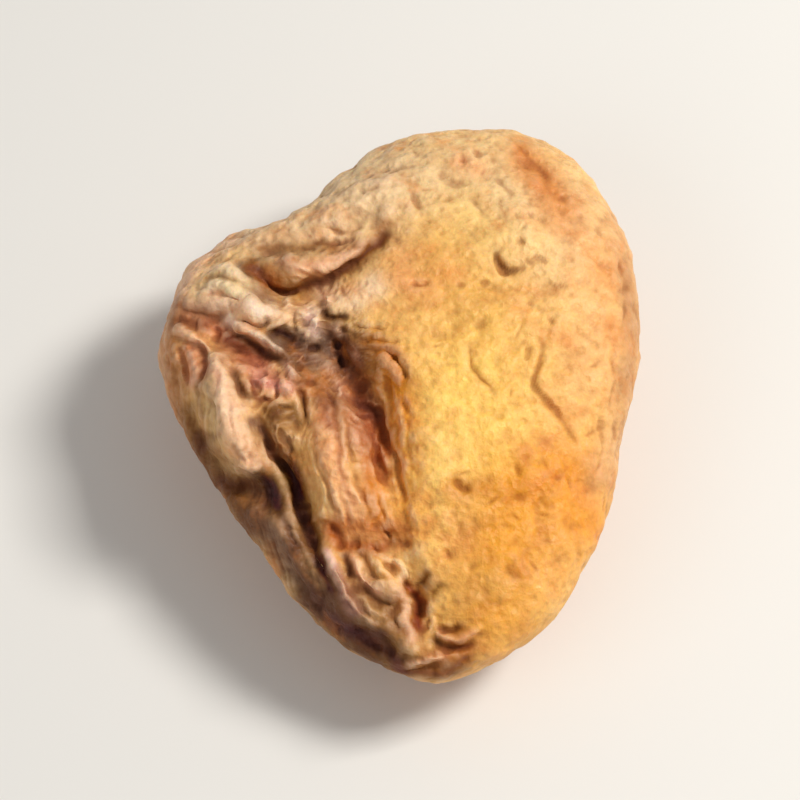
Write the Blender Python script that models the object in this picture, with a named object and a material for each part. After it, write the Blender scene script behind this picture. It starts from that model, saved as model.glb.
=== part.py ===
"""A dried whole apricot, pitted and shrunk, lying on one cheek.

Metres, +Z up. The fruit stands on the plane z = 0 and its bounding box is centred on the origin.
+Y runs from the pointed blossom end to the broad end, and the cheek that shows faces up.

The body is drawn as it looks from a little in front of it: its rim and its folds are laid out on a
face plane that leans back from the table, across it in U, up it in V and out of it in W. The drawing
is in millimetres. It is then laid back on the table, pressed flat where it rests, and put in metres.
"""

import math
from dataclasses import dataclass

import bmesh
import bpy
import numpy as np
from mathutils import Vector, noise

MM = 0.001

# How the face plane stands over the table
FACE_ELEVATION = math.radians(60.0)
LAY_BACK = 0.40

# The body before it is folded
SKIN_CELLS = 31
CROWDING = 0.42
CROWDED_SIDE = Vector((-0.42, -0.06, 0.90)).normalized()
DOME_HEIGHT = 7.2
BELLY_DEPTH = 10.2
DOME_FULLNESS = 0.80
BELLY_FULLNESS = 0.80
HEART = (1.0, 1.0)
FOOT_PRESS = 1.5

# The ends of the fruit on the face plane, where the wrinkles meet
STEM_END = (-5.4, 4.4)
BLOSSOM_END = (1.6, -14.6)

# Swells of the whole body and wrinkles between its two ends, in millimetres
SWELL_HEIGHT = 0.42
SWELL_SPAN = 7.5
WRINKLE_HEIGHT = 0.75
WRINKLES_ROUND = 3.6
WRINKLE_RUN = 0.55
CALM_SIDE = 0.10
SMOOTHING = 0.40
SMOOTHING_PASSES = 3

# How far folds rise toward the viewer rather than straight out of the skin
FACING = 1.3

# The rim, as bearings in degrees from the heart of the fruit and reaches in millimetres
RIM = (
    (-82, 19.6),
    (-60, 17.9),
    (-38, 16.0),
    (-12, 14.5),
    (15, 15.9),
    (30, 17.4),
    (45, 18.6),
    (60, 19.0),
    (76, 18.2),
    (92, 17.1),
    (108, 15.5),
    (119, 14.4),
    (130, 14.8),
    (143, 16.4),
    (157, 17.5),
    (171, 17.3),
    (190, 16.0),
    (208, 14.7),
    (228, 14.9),
    (250, 17.0),
)


@dataclass(frozen=True)
class Fold:
    """A ridge or a crease in the skin.

    Its points are places on the face plane and the height there, in millimetres: a ridge stands above
    the skin and a crease lies under it. The points in under carry it round the rim, on the belly.
    """

    name: str
    width: float
    points: tuple = ()
    under: tuple = ()
    sharpness: float = 2.0
    pinch: float = 0.0


SUTURE = (
    Fold("valley", 4.2, ((-7.0, 5.6, -0.9), (-4.8, 2.2, -1.8), (-3.2, -3.6, -1.8), (-1.2, -9.5, -1.3),
                         (0.8, -14.5, -0.5))),
    Fold("left crease", 0.8, ((-10.4, 1.2, -0.1), (-9.9, 0.1, -0.7), (-9.1, -1.8, -1.4),
                              (-8.0, -4.0, -1.6), (-7.0, -6.0, -1.7), (-6.3, -8.0, -1.7),
                              (-5.4, -9.9, -1.3), (-4.7, -11.4, -0.1)), sharpness=1.5, pinch=0.2),
    Fold("cheek crease", 0.9, ((-4.2, 5.0, -0.1), (-3.1, 2.8, -0.8), (-2.1, 0.6, -1.4),
                               (-1.4, -1.6, -1.6), (-1.1, -4.2, -1.2), (-0.4, -6.4, -0.5),
                               (0.3, -8.2, 0.0)), sharpness=1.5, pinch=0.2),
    Fold("middle finger", 2.1, ((-5.5, 0.9, 0.3), (-4.7, -1.6, 1.4), (-3.9, -4.2, 1.9), (-2.9, -6.6, 1.7),
                                (-2.2, -8.1, 0.7)), sharpness=2.6),
    Fold("little finger", 0.95, ((-8.4, -0.2, 0.2), (-7.9, -1.8, 0.9), (-7.2, -3.4, 0.3))),
    Fold("finger split", 0.7, ((-6.8, 0.4, 0.0), (-6.3, -0.9, -0.8), (-6.7, -2.8, -0.6), (-6.2, -4.6, 0.0))),
    Fold("cross dip", 0.95, ((-4.9, -8.5, -0.2), (-3.2, -9.1, -1.0), (-0.8, -9.2, -1.0),
                             (0.8, -8.9, -0.2)), sharpness=1.8),
    Fold("cheek edge", 2.2, ((-4.8, 7.6, 0.1), (-1.2, 5.4, 0.4), (1.2, 1.8, 0.5), (2.4, -3.0, 0.5),
                             (2.5, -8.0, 0.4), (2.8, -11.4, 0.0))),
)

SHOULDER = (
    Fold("crease", 0.95, ((0.9, 12.4, 0.0), (-0.9, 11.1, -0.8), (-2.4, 9.6, -1.2), (-4.3, 8.2, -1.4),
                          (-6.6, 7.4, -1.6), (-8.4, 7.6, -2.0), (-9.6, 8.8, -1.3), (-10.4, 10.0, 0.0)),
         sharpness=1.5, pinch=0.2),
    Fold("lower ridge", 1.0, ((-8.3, 9.4, 0.2), (-6.8, 9.0, 1.0), (-4.6, 9.3, 0.9), (-2.8, 10.4, 0.7),
                              (-1.0, 12.2, 0.2))),
    Fold("groove", 0.75, ((-10.2, 10.3, 0.0), (-7.6, 10.5, -0.7), (-5.0, 10.8, -0.7), (-2.8, 11.8, -0.5),
                          (-0.8, 13.2, 0.0)), sharpness=1.6),
    Fold("upper ridge", 1.6, ((-10.8, 10.9, 0.2), (-7.6, 11.7, 0.8), (-4.4, 12.7, 1.0), (-1.4, 14.6, 0.7),
                              (2.4, 16.4, 0.1))),
)

LEFT_LOBE = (
    Fold("crown", 2.1, ((-12.8, 7.3, 1.1), (-10.9, 7.7, 1.4))),
    Fold("brim", 1.2, ((-13.8, 8.6, 0.1), (-14.7, 6.4, 0.5), (-15.0, 3.8, 0.5), (-14.8, 1.2, 0.1))),
    Fold("knuckle", 1.0, ((-9.7, 6.2, 0.8), (-8.5, 5.9, 0.8), (-7.3, 6.3, 0.4))),
    Fold("cord", 0.75, ((-11.4, 5.7, 0.0), (-9.9, 4.8, 1.0), (-8.6, 3.9, 1.3), (-7.4, 2.7, 1.1),
                        (-6.5, 1.4, 0.7), (-6.1, 0.2, 0.0)), sharpness=1.9),
    Fold("hollow", 1.3, ((-14.4, 5.6, 0.0), (-12.4, 4.7, -0.6), (-10.6, 3.3, -0.8), (-9.0, 2.3, -0.7),
                         (-7.8, 1.9, 0.0))),
    Fold("small ridge", 0.8, ((-15.1, 4.8, 0.0), (-13.8, 4.2, 0.7), (-12.5, 3.4, 0.5))),
    Fold("left finger", 1.35, ((-12.4, 3.4, 0.4), (-11.6, 1.4, 1.6), (-10.9, -0.6, 2.0), (-10.1, -2.5, 1.9),
                               (-9.5, -4.0, 1.2), (-9.0, -5.2, 0.0)), sharpness=2.3),
    Fold("pink bumps", 0.9, ((-10.2, 1.4, 0.1), (-9.2, 1.2, 0.9), (-8.3, 1.3, 0.5), (-7.4, 0.9, 0.9),
                             (-6.8, 0.3, 0.1))),
    Fold("outer valley", 1.0, ((-14.4, 1.4, 0.0), (-13.8, -1.4, -0.6), (-13.0, -3.4, -0.7),
                               (-11.8, -5.0, -0.6), (-10.0, -6.0, -0.8), (-8.4, -6.3, -0.4))),
    Fold("flank hollow", 1.1, ((-9.6, -7.4, 0.0), (-7.9, -10.2, -0.5), (-5.6, -13.4, -0.5),
                               (-2.6, -16.2, -0.1))),
)

STEM_PUCKER = (
    Fold("left pit", 0.9, ((-8.4, 4.9, -0.1), (-7.4, 4.2, -0.8), (-6.6, 3.4, -0.3))),
    Fold("right pit", 0.95, ((-5.2, 3.6, -0.3), (-4.2, 2.9, -1.1), (-3.4, 1.8, -0.3))),
    Fold("pucker bump", 0.9, ((-6.2, 4.6, 0.6), (-5.4, 5.4, 0.6))),
)

BLOSSOM_TIP = (
    Fold("lower edge", 0.75, ((-4.7, -9.6, 0.1), (-4.2, -11.3, 1.1), (-3.4, -12.7, 1.1), (-2.0, -14.0, 0.7),
                              (-0.4, -15.4, 0.6), (1.2, -16.5, 0.9), (2.8, -16.7, 0.8), (4.0, -16.4, 0.0))),
    Fold("edge groove", 0.6, ((-3.6, -9.8, -0.1), (-3.1, -11.2, -0.7), (-2.2, -12.8, -0.5),
                              (-1.2, -13.8, 0.0))),
    Fold("inner edge", 0.75, ((-2.8, -10.0, 0.1), (-1.9, -11.5, 0.8), (-0.7, -12.6, 0.8), (0.3, -13.4, 0.2))),
    Fold("hole", 0.85, ((0.3, -11.0, -0.1), (0.9, -12.1, -1.4), (1.3, -13.2, -1.8), (1.2, -14.4, -0.9),
                        (1.9, -15.6, 0.0)), sharpness=1.7, pinch=0.2),
    Fold("hollow", 0.8, ((2.2, -14.2, -0.1), (3.3, -14.7, -0.6), (4.5, -14.4, -0.1))),
    Fold("crescent", 0.7, ((2.3, -15.3, 0.1), (3.5, -15.6, 0.5), (5.0, -15.0, 0.2))),
)

CHEEK = (
    Fold("knob", 1.2, ((8.4, 11.2, 0.4), (9.3, 10.9, 0.4))),
    Fold("knob crease", 0.7, ((6.5, 10.4, 0.0), (6.9, 9.4, -0.5), (7.8, 8.7, -0.6), (8.7, 9.0, -0.4),
                              (10.1, 9.7, 0.0)), sharpness=1.6),
    Fold("upper groove", 0.9, ((7.8, 17.4, 0.0), (9.3, 15.8, -0.4), (10.6, 14.5, -0.3), (11.6, 13.4, 0.0))),
    Fold("low valley", 1.5, ((4.4, -3.6, 0.0), (4.4, -7.6, -0.4), (4.0, -11.6, -0.3), (4.4, -14.0, 0.0))),
)

BELLY = (
    Fold("long crease", 1.9, (), ((-12.0, 4.0, 0.0), (-6.0, 7.0, -0.9), (1.0, 8.0, -1.1), (8.0, 5.0, -0.8),
                                  (13.0, 1.0, 0.0)), sharpness=1.5),
    Fold("low crease", 1.6, (), ((-9.0, -5.0, 0.0), (-3.5, -8.5, -0.8), (3.0, -9.5, -0.9),
                                 (9.5, -10.0, 0.0)), sharpness=1.5),
    Fold("dimple", 2.6, (), ((4.0, 12.5, -0.8), (8.0, 11.0, -0.8))),
    Fold("left pleat", 1.5, ((-14.6, 8.4, 0.0),),
         ((-15.2, 4.6, -0.8), (-14.2, -0.4, -1.0), (-11.6, -4.8, -0.8), (-8.4, -9.6, 0.0)), sharpness=1.6),
    Fold("left welt", 1.7, (), ((-13.4, 7.6, 0.1), (-13.2, 3.6, 0.6), (-12.2, -0.6, 0.6), (-9.4, -5.4, 0.1))),
    Fold("right pleat", 1.6, ((15.4, 10.0, 0.0),),
         ((15.5, 5.0, -0.8), (14.2, -0.5, -1.0), (13.0, -5.6, -0.7), (10.6, -10.4, 0.0)), sharpness=1.6),
    Fold("right welt", 1.8, (), ((13.4, 8.6, 0.1), (13.2, 3.0, 0.6), (11.8, -3.0, 0.5), (10.4, -7.4, 0.0))),
    Fold("back pleat", 1.7, (), ((13.2, 12.8, 0.0), (7.6, 16.6, -0.9), (2.0, 16.6, -1.1), (-3.0, 14.0, -0.8),
                                 (-5.6, 10.4, 0.0)), sharpness=1.6),
    Fold("back wrinkle", 1.3, ((7.6, 17.4, 0.0), (11.2, 16.4, -0.1)),
         ((12.8, 13.6, -0.7), (11.6, 8.6, 0.0))),
    Fold("front pleat", 1.4, (), ((-6.4, -12.2, 0.0), (-2.0, -16.0, -0.8), (3.0, -16.8, -0.8),
                                  (8.6, -13.4, 0.0)), sharpness=1.6),
)

FOLDS = (*SUTURE, *SHOULDER, *LEFT_LOBE, *STEM_PUCKER, *BLOSSOM_TIP, *CHEEK, *BELLY)

SKIN_COLOUR = (0.78, 0.43, 0.13, 1.0)
SKIN_ROUGHNESS = 0.55


def reach(bearing):
    """The rim's distance from the heart, in millimetres, at a bearing in radians: a closed smooth curve."""
    angles = np.radians([a for a, _ in RIM])
    reaches = np.array([r for _, r in RIM], float)
    turns = np.mod(bearing - angles[0], math.tau) + angles[0]
    knots = np.concatenate([angles[-2:] - math.tau, angles, angles[:2] + math.tau])
    values = np.concatenate([reaches[-2:], reaches, reaches[:2]])
    slopes = np.gradient(values, knots)
    index = np.clip(np.searchsorted(knots, turns, side="right") - 1, 0, len(knots) - 2)
    span = knots[index + 1] - knots[index]
    t = (turns - knots[index]) / span
    return (
        (2 * t**3 - 3 * t**2 + 1) * values[index]
        + (t**3 - 2 * t**2 + t) * span * slopes[index]
        + (3 * t**2 - 2 * t**3) * values[index + 1]
        + (t**3 - t**2) * span * slopes[index + 1]
    )


def depth_at(height, side):
    """How far the plain body stands out of the face plane, given the height on the unit ball, 0 to 1."""
    front = DOME_HEIGHT * height**DOME_FULLNESS
    back = -BELLY_DEPTH * height**BELLY_FULLNESS
    return np.where(side >= 0, front, back)


def on_ball(u, v, side):
    """Where a place on the face plane lies on the unit ball: on its front where side is 1, or its back."""
    across, along = u - HEART[0], v - HEART[1]
    bearing = np.arctan2(along, across)
    share = np.minimum(np.hypot(across, along) / reach(bearing), 1.0)
    return np.stack([share * np.cos(bearing), share * np.sin(bearing), side * np.sqrt(1 - share**2)], axis=-1)


def plain_body(unit):
    """Carries points of the unit ball to the body, as if it had no folds."""
    share = np.hypot(unit[:, 0], unit[:, 1])
    bearing = np.arctan2(unit[:, 1], unit[:, 0])
    out = reach(bearing) * share
    u = HEART[0] + out * np.cos(bearing)
    v = HEART[1] + out * np.sin(bearing)
    return np.stack([u, v, depth_at(np.abs(unit[:, 2]), unit[:, 2])], axis=1)


def ball():
    """A bmesh of a unit ball made from a cube, its square cells smaller on the side with the most folds."""
    skin = bmesh.new()
    bmesh.ops.create_cube(skin, size=2.0)
    bmesh.ops.subdivide_edges(skin, edges=skin.edges[:], cuts=SKIN_CELLS - 1, use_grid_fill=True)
    squeeze = math.sqrt(1 - CROWDING**2)
    for vert in skin.verts:
        spot = Vector([math.tan(c * math.pi / 4) for c in vert.co]).normalized()
        toward = spot.dot(CROWDED_SIDE)
        aside = spot - CROWDED_SIDE * toward
        vert.co = (aside * squeeze + CROWDED_SIDE * (toward + CROWDING)) / (1 + CROWDING * toward)
    return skin


def meridians(unit):
    """The direction round the fruit, as an angle, and the way from the blossom end to the stem end, both
    constant along circles of the unit ball: those through the two ends, and those that part them."""
    ends = on_ball(np.array([STEM_END[0], BLOSSOM_END[0]]), np.array([STEM_END[1], BLOSSOM_END[1]]), 1.0)
    flat = [(p[..., 0] + 1j * p[..., 1]) / (1 + p[..., 2] + 1e-9) for p in (unit, ends[0], ends[1])]
    ratio = (flat[0] - flat[2]) / (flat[0] - flat[1] + 1e-9)
    return np.angle(ratio), np.log(np.abs(ratio) + 1e-6)


def smooth_line(knots, per_span=8):
    """Points on a smooth curve through the knots, ends included."""
    knots = np.asarray(knots, float)
    padded = np.vstack([2 * knots[0] - knots[1], knots, 2 * knots[-1] - knots[-2]])
    t = np.linspace(0, 1, per_span, endpoint=False)[:, None]
    spans = [
        0.5 * (2 * b + (c - a) * t + (2 * a - 5 * b + 4 * c - d) * t**2 + (3 * b - a - 3 * c + d) * t**3)
        for a, b, c, d in zip(padded, padded[1:], padded[2:], padded[3:])
    ]
    return np.vstack([*spans, knots[-1:]])


def fold_line(fold):
    """The fold's line on the plain body, as points and the fold's height at each."""
    knots = [
        (*on_ball(np.array(u), np.array(v), side), height)
        for side, points in ((1.0, fold.points), (-1.0, fold.under))
        for u, v, height in points
    ]
    line = smooth_line(knots)
    unit = line[:, :3] / np.linalg.norm(line[:, :3], axis=1, keepdims=True)
    return plain_body(unit), line[:, 3]


def normals_of(skin, points):
    """The outward normals of the skin with its vertices at these points."""
    for vert, point in zip(skin.verts, points):
        vert.co = point
    skin.normal_update()
    return np.array([vert.normal for vert in skin.verts])


def nearest_on_line(points, line, heights):
    """For each point, its distance to the line, the way there and the line's height there."""
    starts, steps = line[:-1], np.diff(line, axis=0)
    rel = points[:, None, :] - starts[None, :, :]
    t = np.clip((rel * steps).sum(2) / (steps**2).sum(1), 0, 1)
    gap = rel - t[..., None] * steps
    squares = (gap**2).sum(2)
    best = squares.argmin(1)
    rows = np.arange(len(points))
    height = heights[best] + t[rows, best] * (heights[best + 1] - heights[best])
    return np.sqrt(squares[rows, best]), -gap[rows, best], height


def swells(plain):
    """Broad low swells all over the body, in millimetres."""
    return np.array([SWELL_HEIGHT * noise.noise(Vector(p) / SWELL_SPAN) for p in plain])


def wrinkles(unit):
    """Wrinkles that run from one end of the fruit to the other: fewest on the cheek that shows."""
    around, along = meridians(unit)
    places = np.stack([np.cos(around), np.sin(around), WRINKLE_RUN * along], axis=1)
    places[:, :2] *= WRINKLES_ROUND
    ends = np.exp(-((along / 3.2) ** 4))
    near_suture = (0.5 - 0.5 * np.cos(around)) ** 4
    below = np.clip(-1.5 * unit[:, 2], 0.0, 1.0)
    sides = CALM_SIDE + (1 - CALM_SIDE) * np.maximum(near_suture, below)
    billows = np.array([2 * abs(noise.noise(Vector(p))) - 0.5 for p in places])
    return WRINKLE_HEIGHT * ends * sides * billows


def folded(skin, plain, unit):
    """The plain body's points with every fold, swell and wrinkle raised or sunk on it."""
    ways = normals_of(skin, plain)
    ways[:, 2] += FACING * np.clip(unit[:, 2], 0.0, 1.0)
    ways /= np.linalg.norm(ways, axis=1, keepdims=True)
    lift = swells(plain) + wrinkles(unit)
    slide = np.zeros_like(plain)
    for fold in FOLDS:
        line, heights = fold_line(fold)
        distance, way, height = nearest_on_line(plain, line, heights)
        share = np.exp(-((distance / fold.width) ** fold.sharpness))
        lift += height * share
        slide += (fold.pinch * share * np.minimum(np.abs(height), 1.0))[:, None] * way
    return plain + slide + ways * lift[:, None]


def smoothed(skin, points):
    """Eases every vertex a little toward its neighbours."""
    for vert, point in zip(skin.verts, points):
        vert.co = point
    for _ in range(SMOOTHING_PASSES):
        bmesh.ops.smooth_vert(
            skin, verts=skin.verts, factor=SMOOTHING, use_axis_x=True, use_axis_y=True, use_axis_z=True
        )
    return np.array([vert.co for vert in skin.verts])


def laid_down(points):
    """Turns face-plane points to the table, with the rim laid back so that the fruit lies low."""
    u, v, w = points.T
    w = w - LAY_BACK * v
    y = v * math.sin(FACE_ELEVATION) - w * math.cos(FACE_ELEVATION)
    z = v * math.cos(FACE_ELEVATION) + w * math.sin(FACE_ELEVATION)
    return np.stack([u, y, z], axis=1)


def pressed(points):
    """Flattens the lowest part to a foot and centres the fruit over the origin."""
    points = points.copy()
    foot = points[:, 2].min() + FOOT_PRESS
    points[:, 2] = np.maximum(points[:, 2], foot) - foot
    middle = (points.min(0) + points.max(0)) / 2
    points[:, :2] -= middle[:2]
    return points


def skin_material():
    material = bpy.data.materials.new("dried_skin")
    material.use_nodes = True
    shader = material.node_tree.nodes["Principled BSDF"]
    shader.inputs["Base Color"].default_value = SKIN_COLOUR
    shader.inputs["Roughness"].default_value = SKIN_ROUGHNESS
    shader.inputs["Metallic"].default_value = 0.0
    return material


def make_apricot():
    skin = ball()
    unit = np.array([vert.co for vert in skin.verts])
    points = folded(skin, plain_body(unit), unit)
    points = pressed(laid_down(smoothed(skin, points))) * MM
    for vert, point in zip(skin.verts, points):
        vert.co = point
    skin.normal_update()
    mesh = bpy.data.meshes.new("apricot")
    skin.to_mesh(mesh)
    skin.free()
    mesh.shade_smooth()
    mesh.materials.append(skin_material())
    fruit = bpy.data.objects.new("apricot", mesh)
    bpy.context.scene.collection.objects.link(fruit)
    return fruit


def main():
    for old in list(bpy.data.objects):
        bpy.data.objects.remove(old)
    make_apricot()


main()
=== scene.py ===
"""The looks of a dried whole apricot: a fine, wrinkled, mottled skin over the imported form.

The small relief and the colours are placed on the plane that the fruit's face is seen on: U runs across
the fruit and V up it, in millimetres, as it looks from 60 degrees above the table. Everything else is in
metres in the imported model's frame.
"""

import logging
import math
from dataclasses import dataclass, field
from enum import Enum

import bmesh
import bpy
import numpy as np
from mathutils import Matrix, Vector, noise


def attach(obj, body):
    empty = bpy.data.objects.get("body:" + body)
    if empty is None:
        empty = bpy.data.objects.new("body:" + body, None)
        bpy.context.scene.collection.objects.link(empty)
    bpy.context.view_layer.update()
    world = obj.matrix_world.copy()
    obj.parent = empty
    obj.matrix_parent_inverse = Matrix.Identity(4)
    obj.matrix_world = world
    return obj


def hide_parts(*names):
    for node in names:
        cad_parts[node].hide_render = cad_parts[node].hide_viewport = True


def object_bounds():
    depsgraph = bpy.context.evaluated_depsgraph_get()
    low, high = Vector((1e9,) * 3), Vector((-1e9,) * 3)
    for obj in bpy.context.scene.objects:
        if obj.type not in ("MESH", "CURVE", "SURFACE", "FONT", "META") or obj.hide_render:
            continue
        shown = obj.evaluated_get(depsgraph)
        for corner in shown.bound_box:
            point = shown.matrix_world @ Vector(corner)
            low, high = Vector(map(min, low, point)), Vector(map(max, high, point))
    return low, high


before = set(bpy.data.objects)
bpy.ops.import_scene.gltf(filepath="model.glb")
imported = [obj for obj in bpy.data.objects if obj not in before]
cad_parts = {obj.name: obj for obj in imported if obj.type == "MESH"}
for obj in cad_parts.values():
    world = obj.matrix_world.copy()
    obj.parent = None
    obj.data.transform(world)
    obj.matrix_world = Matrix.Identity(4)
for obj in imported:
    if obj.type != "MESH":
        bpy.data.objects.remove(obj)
CAD_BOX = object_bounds()

log = logging.getLogger("apricot")

MM = 0.001
TINY = 1e-6
TINIEST = 1e-9

# a stroke is cut off so many widths out, and its ends begin to fade in so much of its taper before them
STROKE_REACH = 2.6
STROKE_HEAD_START = 0.25

# how the noise moves along x, y and z for each unit of its shift
SHIFT_WAY = (1.0, 1.7, -0.6)

# the mix node has sockets of the same names for each kind of value, so the colours' own go by number
COLOUR_MIX_INPUTS = (0, 6, 7)
COLOUR_MIX_OUTPUT = 2

Place = tuple[float, float]
Span = tuple[float, float]
Triple = tuple[float, float, float]
Colour = tuple[int, int, int]
Socket = bpy.types.NodeSocket


class Feel(Enum):
    """The kinds of small relief that cover the skin."""

    LUMPS = "lumps"
    CRUMPLE = "crumple"
    PLEATS = "pleats"
    GRAIN = "grain"
    FURROWS = "furrows"


FOLD_RUNS = {Feel.FURROWS: 0.8, Feel.PLEATS: 2.2}


class Layer(Enum):
    """How one colour is laid over another: the blend types of Blender's colour mix."""

    COVER = "MIX"
    STAIN = "MULTIPLY"


@dataclass(frozen=True)
class FacePlane:
    """The plane that the fruit's face is seen on, leaning back from the table.

    Sizes are in millimetres: across and up say where the row frame's origin lies on the plane.
    """

    elevation: float = math.radians(60.0)
    across: float = 0.123
    up: float = -3.835

    def outward(self) -> np.ndarray:
        """The direction out of the plane, toward the viewer."""
        return np.array([0.0, -math.cos(self.elevation), math.sin(self.elevation)])

    def axes(self) -> np.ndarray:
        """The plane's across, up and outward directions, one in each row."""
        s, c = math.sin(self.elevation), math.cos(self.elevation)
        return np.array([[1.0, 0.0, 0.0], [0.0, s, c], [0.0, -c, s]])

    def places(self, points: np.ndarray) -> np.ndarray:
        """Finds where points in millimetres show on the plane.

        Args:
            points: one row of x, y and z each.

        Returns:
            One row of u and v each.
        """
        v = points[:, 1] * math.sin(self.elevation) + points[:, 2] * math.cos(self.elevation)
        return np.stack([points[:, 0] + self.across, v + self.up], axis=1)


@dataclass(frozen=True)
class Mark:
    """A small ridge, crease, bump or pit on the fruit's face.

    A mark with one place is a round bump or pit; with more it is a line that fades toward its ends.
    Height is in millimetres, above the skin or, below nought, under it.
    """

    height: float
    width: float
    path: tuple[Place, ...]


@dataclass(frozen=True)
class Tint:
    """A soft stroke of colour on the fruit's face, in the display colours of the lit skin: many strokes
    carry painted light and shade along with the skin's own colour.
    """

    colour: Colour
    strength: float
    width: float
    path: tuple[Place, ...]


SHOULDER_MARKS = (
    Mark(-0.28, 0.30, ((-1.6, 10.4), (-2.6, 9.4), (-3.7, 8.6), (-5.4, 7.9), (-6.9, 7.4), (-8.2, 7.5),
                       (-9.2, 8.3), (-10.0, 9.5))),
    Mark(0.30, 0.50, ((-7.8, 9.2), (-6.4, 8.6), (-4.8, 8.9), (-3.0, 9.8), (-1.6, 11.4))),
    Mark(-0.22, 0.30, ((-5.4, 11.7), (-3.6, 11.4), (-2.1, 11.8))),
    Mark(-0.24, 0.30, ((-6.6, 10.3), (-4.4, 10.6), (-2.4, 11.0))),
    Mark(-0.22, 0.32, ((-9.6, 9.8), (-7.9, 10.1), (-6.4, 9.8))),
    Mark(-0.14, 0.25, ((-7.2, 8.7), (-6.0, 8.4), (-5.0, 8.6))),
    Mark(0.14, 0.50, ((-1.4, 12.3), (-0.3, 12.9))),
    Mark(-0.16, 0.26, ((1.2, 14.2), (1.4, 12.7))),
    Mark(-0.18, 0.40, ((-7.0, 12.0), (-5.2, 13.2), (-3.6, 14.0))),
    Mark(0.16, 0.50, ((-4.8, 12.6), (-2.6, 13.2), (-0.6, 14.6))),
    Mark(-0.14, 0.35, ((-3.4, 15.2), (-1.2, 15.4), (0.8, 16.2))),
    Mark(-0.30, 0.36, ((2.5, 15.4), (3.7, 14.9), (5.0, 14.4))),
    Mark(-0.36, 0.32, ((4.5, 16.3),)),
    Mark(-0.30, 0.30, ((5.1, 16.6), (5.7, 17.0))),
    Mark(-0.16, 0.30, ((6.6, 15.2), (7.2, 14.2), (7.8, 13.6))),
    Mark(-0.20, 0.40, ((8.1, 17.2), (8.9, 16.2), (9.6, 15.4), (10.4, 14.7))),
    Mark(-0.16, 0.35, ((11.0, 14.1), (11.3, 13.2))),
)

LOBE_MARKS = (
    Mark(0.16, 0.28, ((-12.9, 8.5), (-11.6, 9.0), (-10.3, 8.5))),
    Mark(-0.20, 0.26, ((-13.5, 7.7), (-12.2, 8.3), (-10.9, 8.1), (-10.0, 7.4))),
    Mark(0.14, 0.30, ((-12.9, 7.3), (-11.8, 7.6), (-10.4, 7.1))),
    Mark(-0.18, 0.24, ((-13.2, 6.7), (-12.0, 7.0), (-10.9, 6.8), (-10.2, 6.3))),
    Mark(-0.16, 0.26, ((-13.4, 9.1), (-12.2, 9.7), (-10.8, 9.6))),
    Mark(-0.26, 0.36, ((-14.7, 6.0), (-13.4, 5.8), (-12.2, 5.5), (-11.3, 5.7))),
    Mark(0.20, 0.30, ((-13.4, 5.0), (-12.8, 4.8))),
    Mark(-0.22, 0.26, ((-12.4, 5.1), (-12.0, 4.4), (-12.2, 3.8))),
    Mark(0.16, 0.40, ((-11.6, 4.8), (-11.2, 4.3))),
    Mark(0.58, 0.24, ((-11.3, 5.5), (-10.0, 4.7), (-9.0, 4.3), (-8.2, 3.6), (-7.2, 2.8))),
    Mark(-0.34, 0.30, ((-10.9, 4.6), (-9.7, 3.8), (-8.8, 3.1), (-7.9, 2.6), (-7.0, 2.7))),
    Mark(-0.34, 0.24, ((-10.3, 5.4), (-9.4, 5.0), (-8.5, 5.3))),
    Mark(0.24, 0.22, ((-8.8, 4.7), (-8.0, 5.1), (-7.5, 5.7))),
    Mark(0.32, 0.28, ((-7.6, 2.6), (-7.0, 1.9), (-6.4, 1.2))),
    Mark(0.32, 0.28, ((-14.9, 4.9), (-14.1, 4.4), (-13.1, 3.8), (-12.6, 3.2))),
    Mark(-0.20, 0.24, ((-14.6, 3.8), (-14.3, 2.4), (-14.0, 0.8))),
    Mark(0.22, 0.30, ((-13.8, 3.4), (-13.6, 2.2), (-13.3, 0.8))),
    Mark(-0.26, 0.26, ((-13.0, 3.4), (-12.8, 2.4), (-12.9, 1.0))),
    Mark(0.26, 0.34, ((-12.4, 3.4), (-12.0, 2.4), (-11.5, 1.2), (-11.6, -0.2))),
    Mark(-0.28, 0.28, ((-11.2, 2.9), (-10.7, 1.6), (-10.4, 0.7), (-9.9, 0.1))),
    Mark(0.20, 0.24, ((-10.0, 1.3), (-9.8, 0.6))),
    Mark(-0.26, 0.22, ((-9.7, 1.4), (-9.4, 0.8), (-9.5, 0.1))),
    Mark(0.32, 0.46, ((-9.0, 1.7), (-8.6, 1.0))),
    Mark(0.34, 0.46, ((-7.9, 1.3), (-7.0, 0.6))),
    Mark(-0.24, 0.22, ((-8.3, 1.9), (-8.1, 0.8), (-8.5, 0.0), (-9.3, 0.0))),
    Mark(-0.18, 0.30, ((-12.6, 0.2), (-12.1, -1.4), (-12.3, -2.8))),
    Mark(-0.14, 0.22, ((-11.2, 0.2), (-10.9, -1.4), (-10.3, -2.8))),
    Mark(0.16, 0.30, ((-10.1, -0.4), (-9.8, -2.0), (-9.3, -3.8))),
    Mark(-0.12, 0.22, ((-11.3, -2.4), (-10.4, -3.6), (-9.6, -4.4))),
    Mark(-0.45, 0.85, ((-11.6, -5.5), (-10.0, -5.9), (-8.6, -6.4), (-7.9, -7.6))),
    Mark(0.28, 0.50, ((-11.0, -4.3), (-9.9, -4.6), (-8.9, -4.5))),
    Mark(-0.18, 0.35, ((-15.3, 2.6), (-15.1, 0.4), (-14.3, -2.0))),
)

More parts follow.
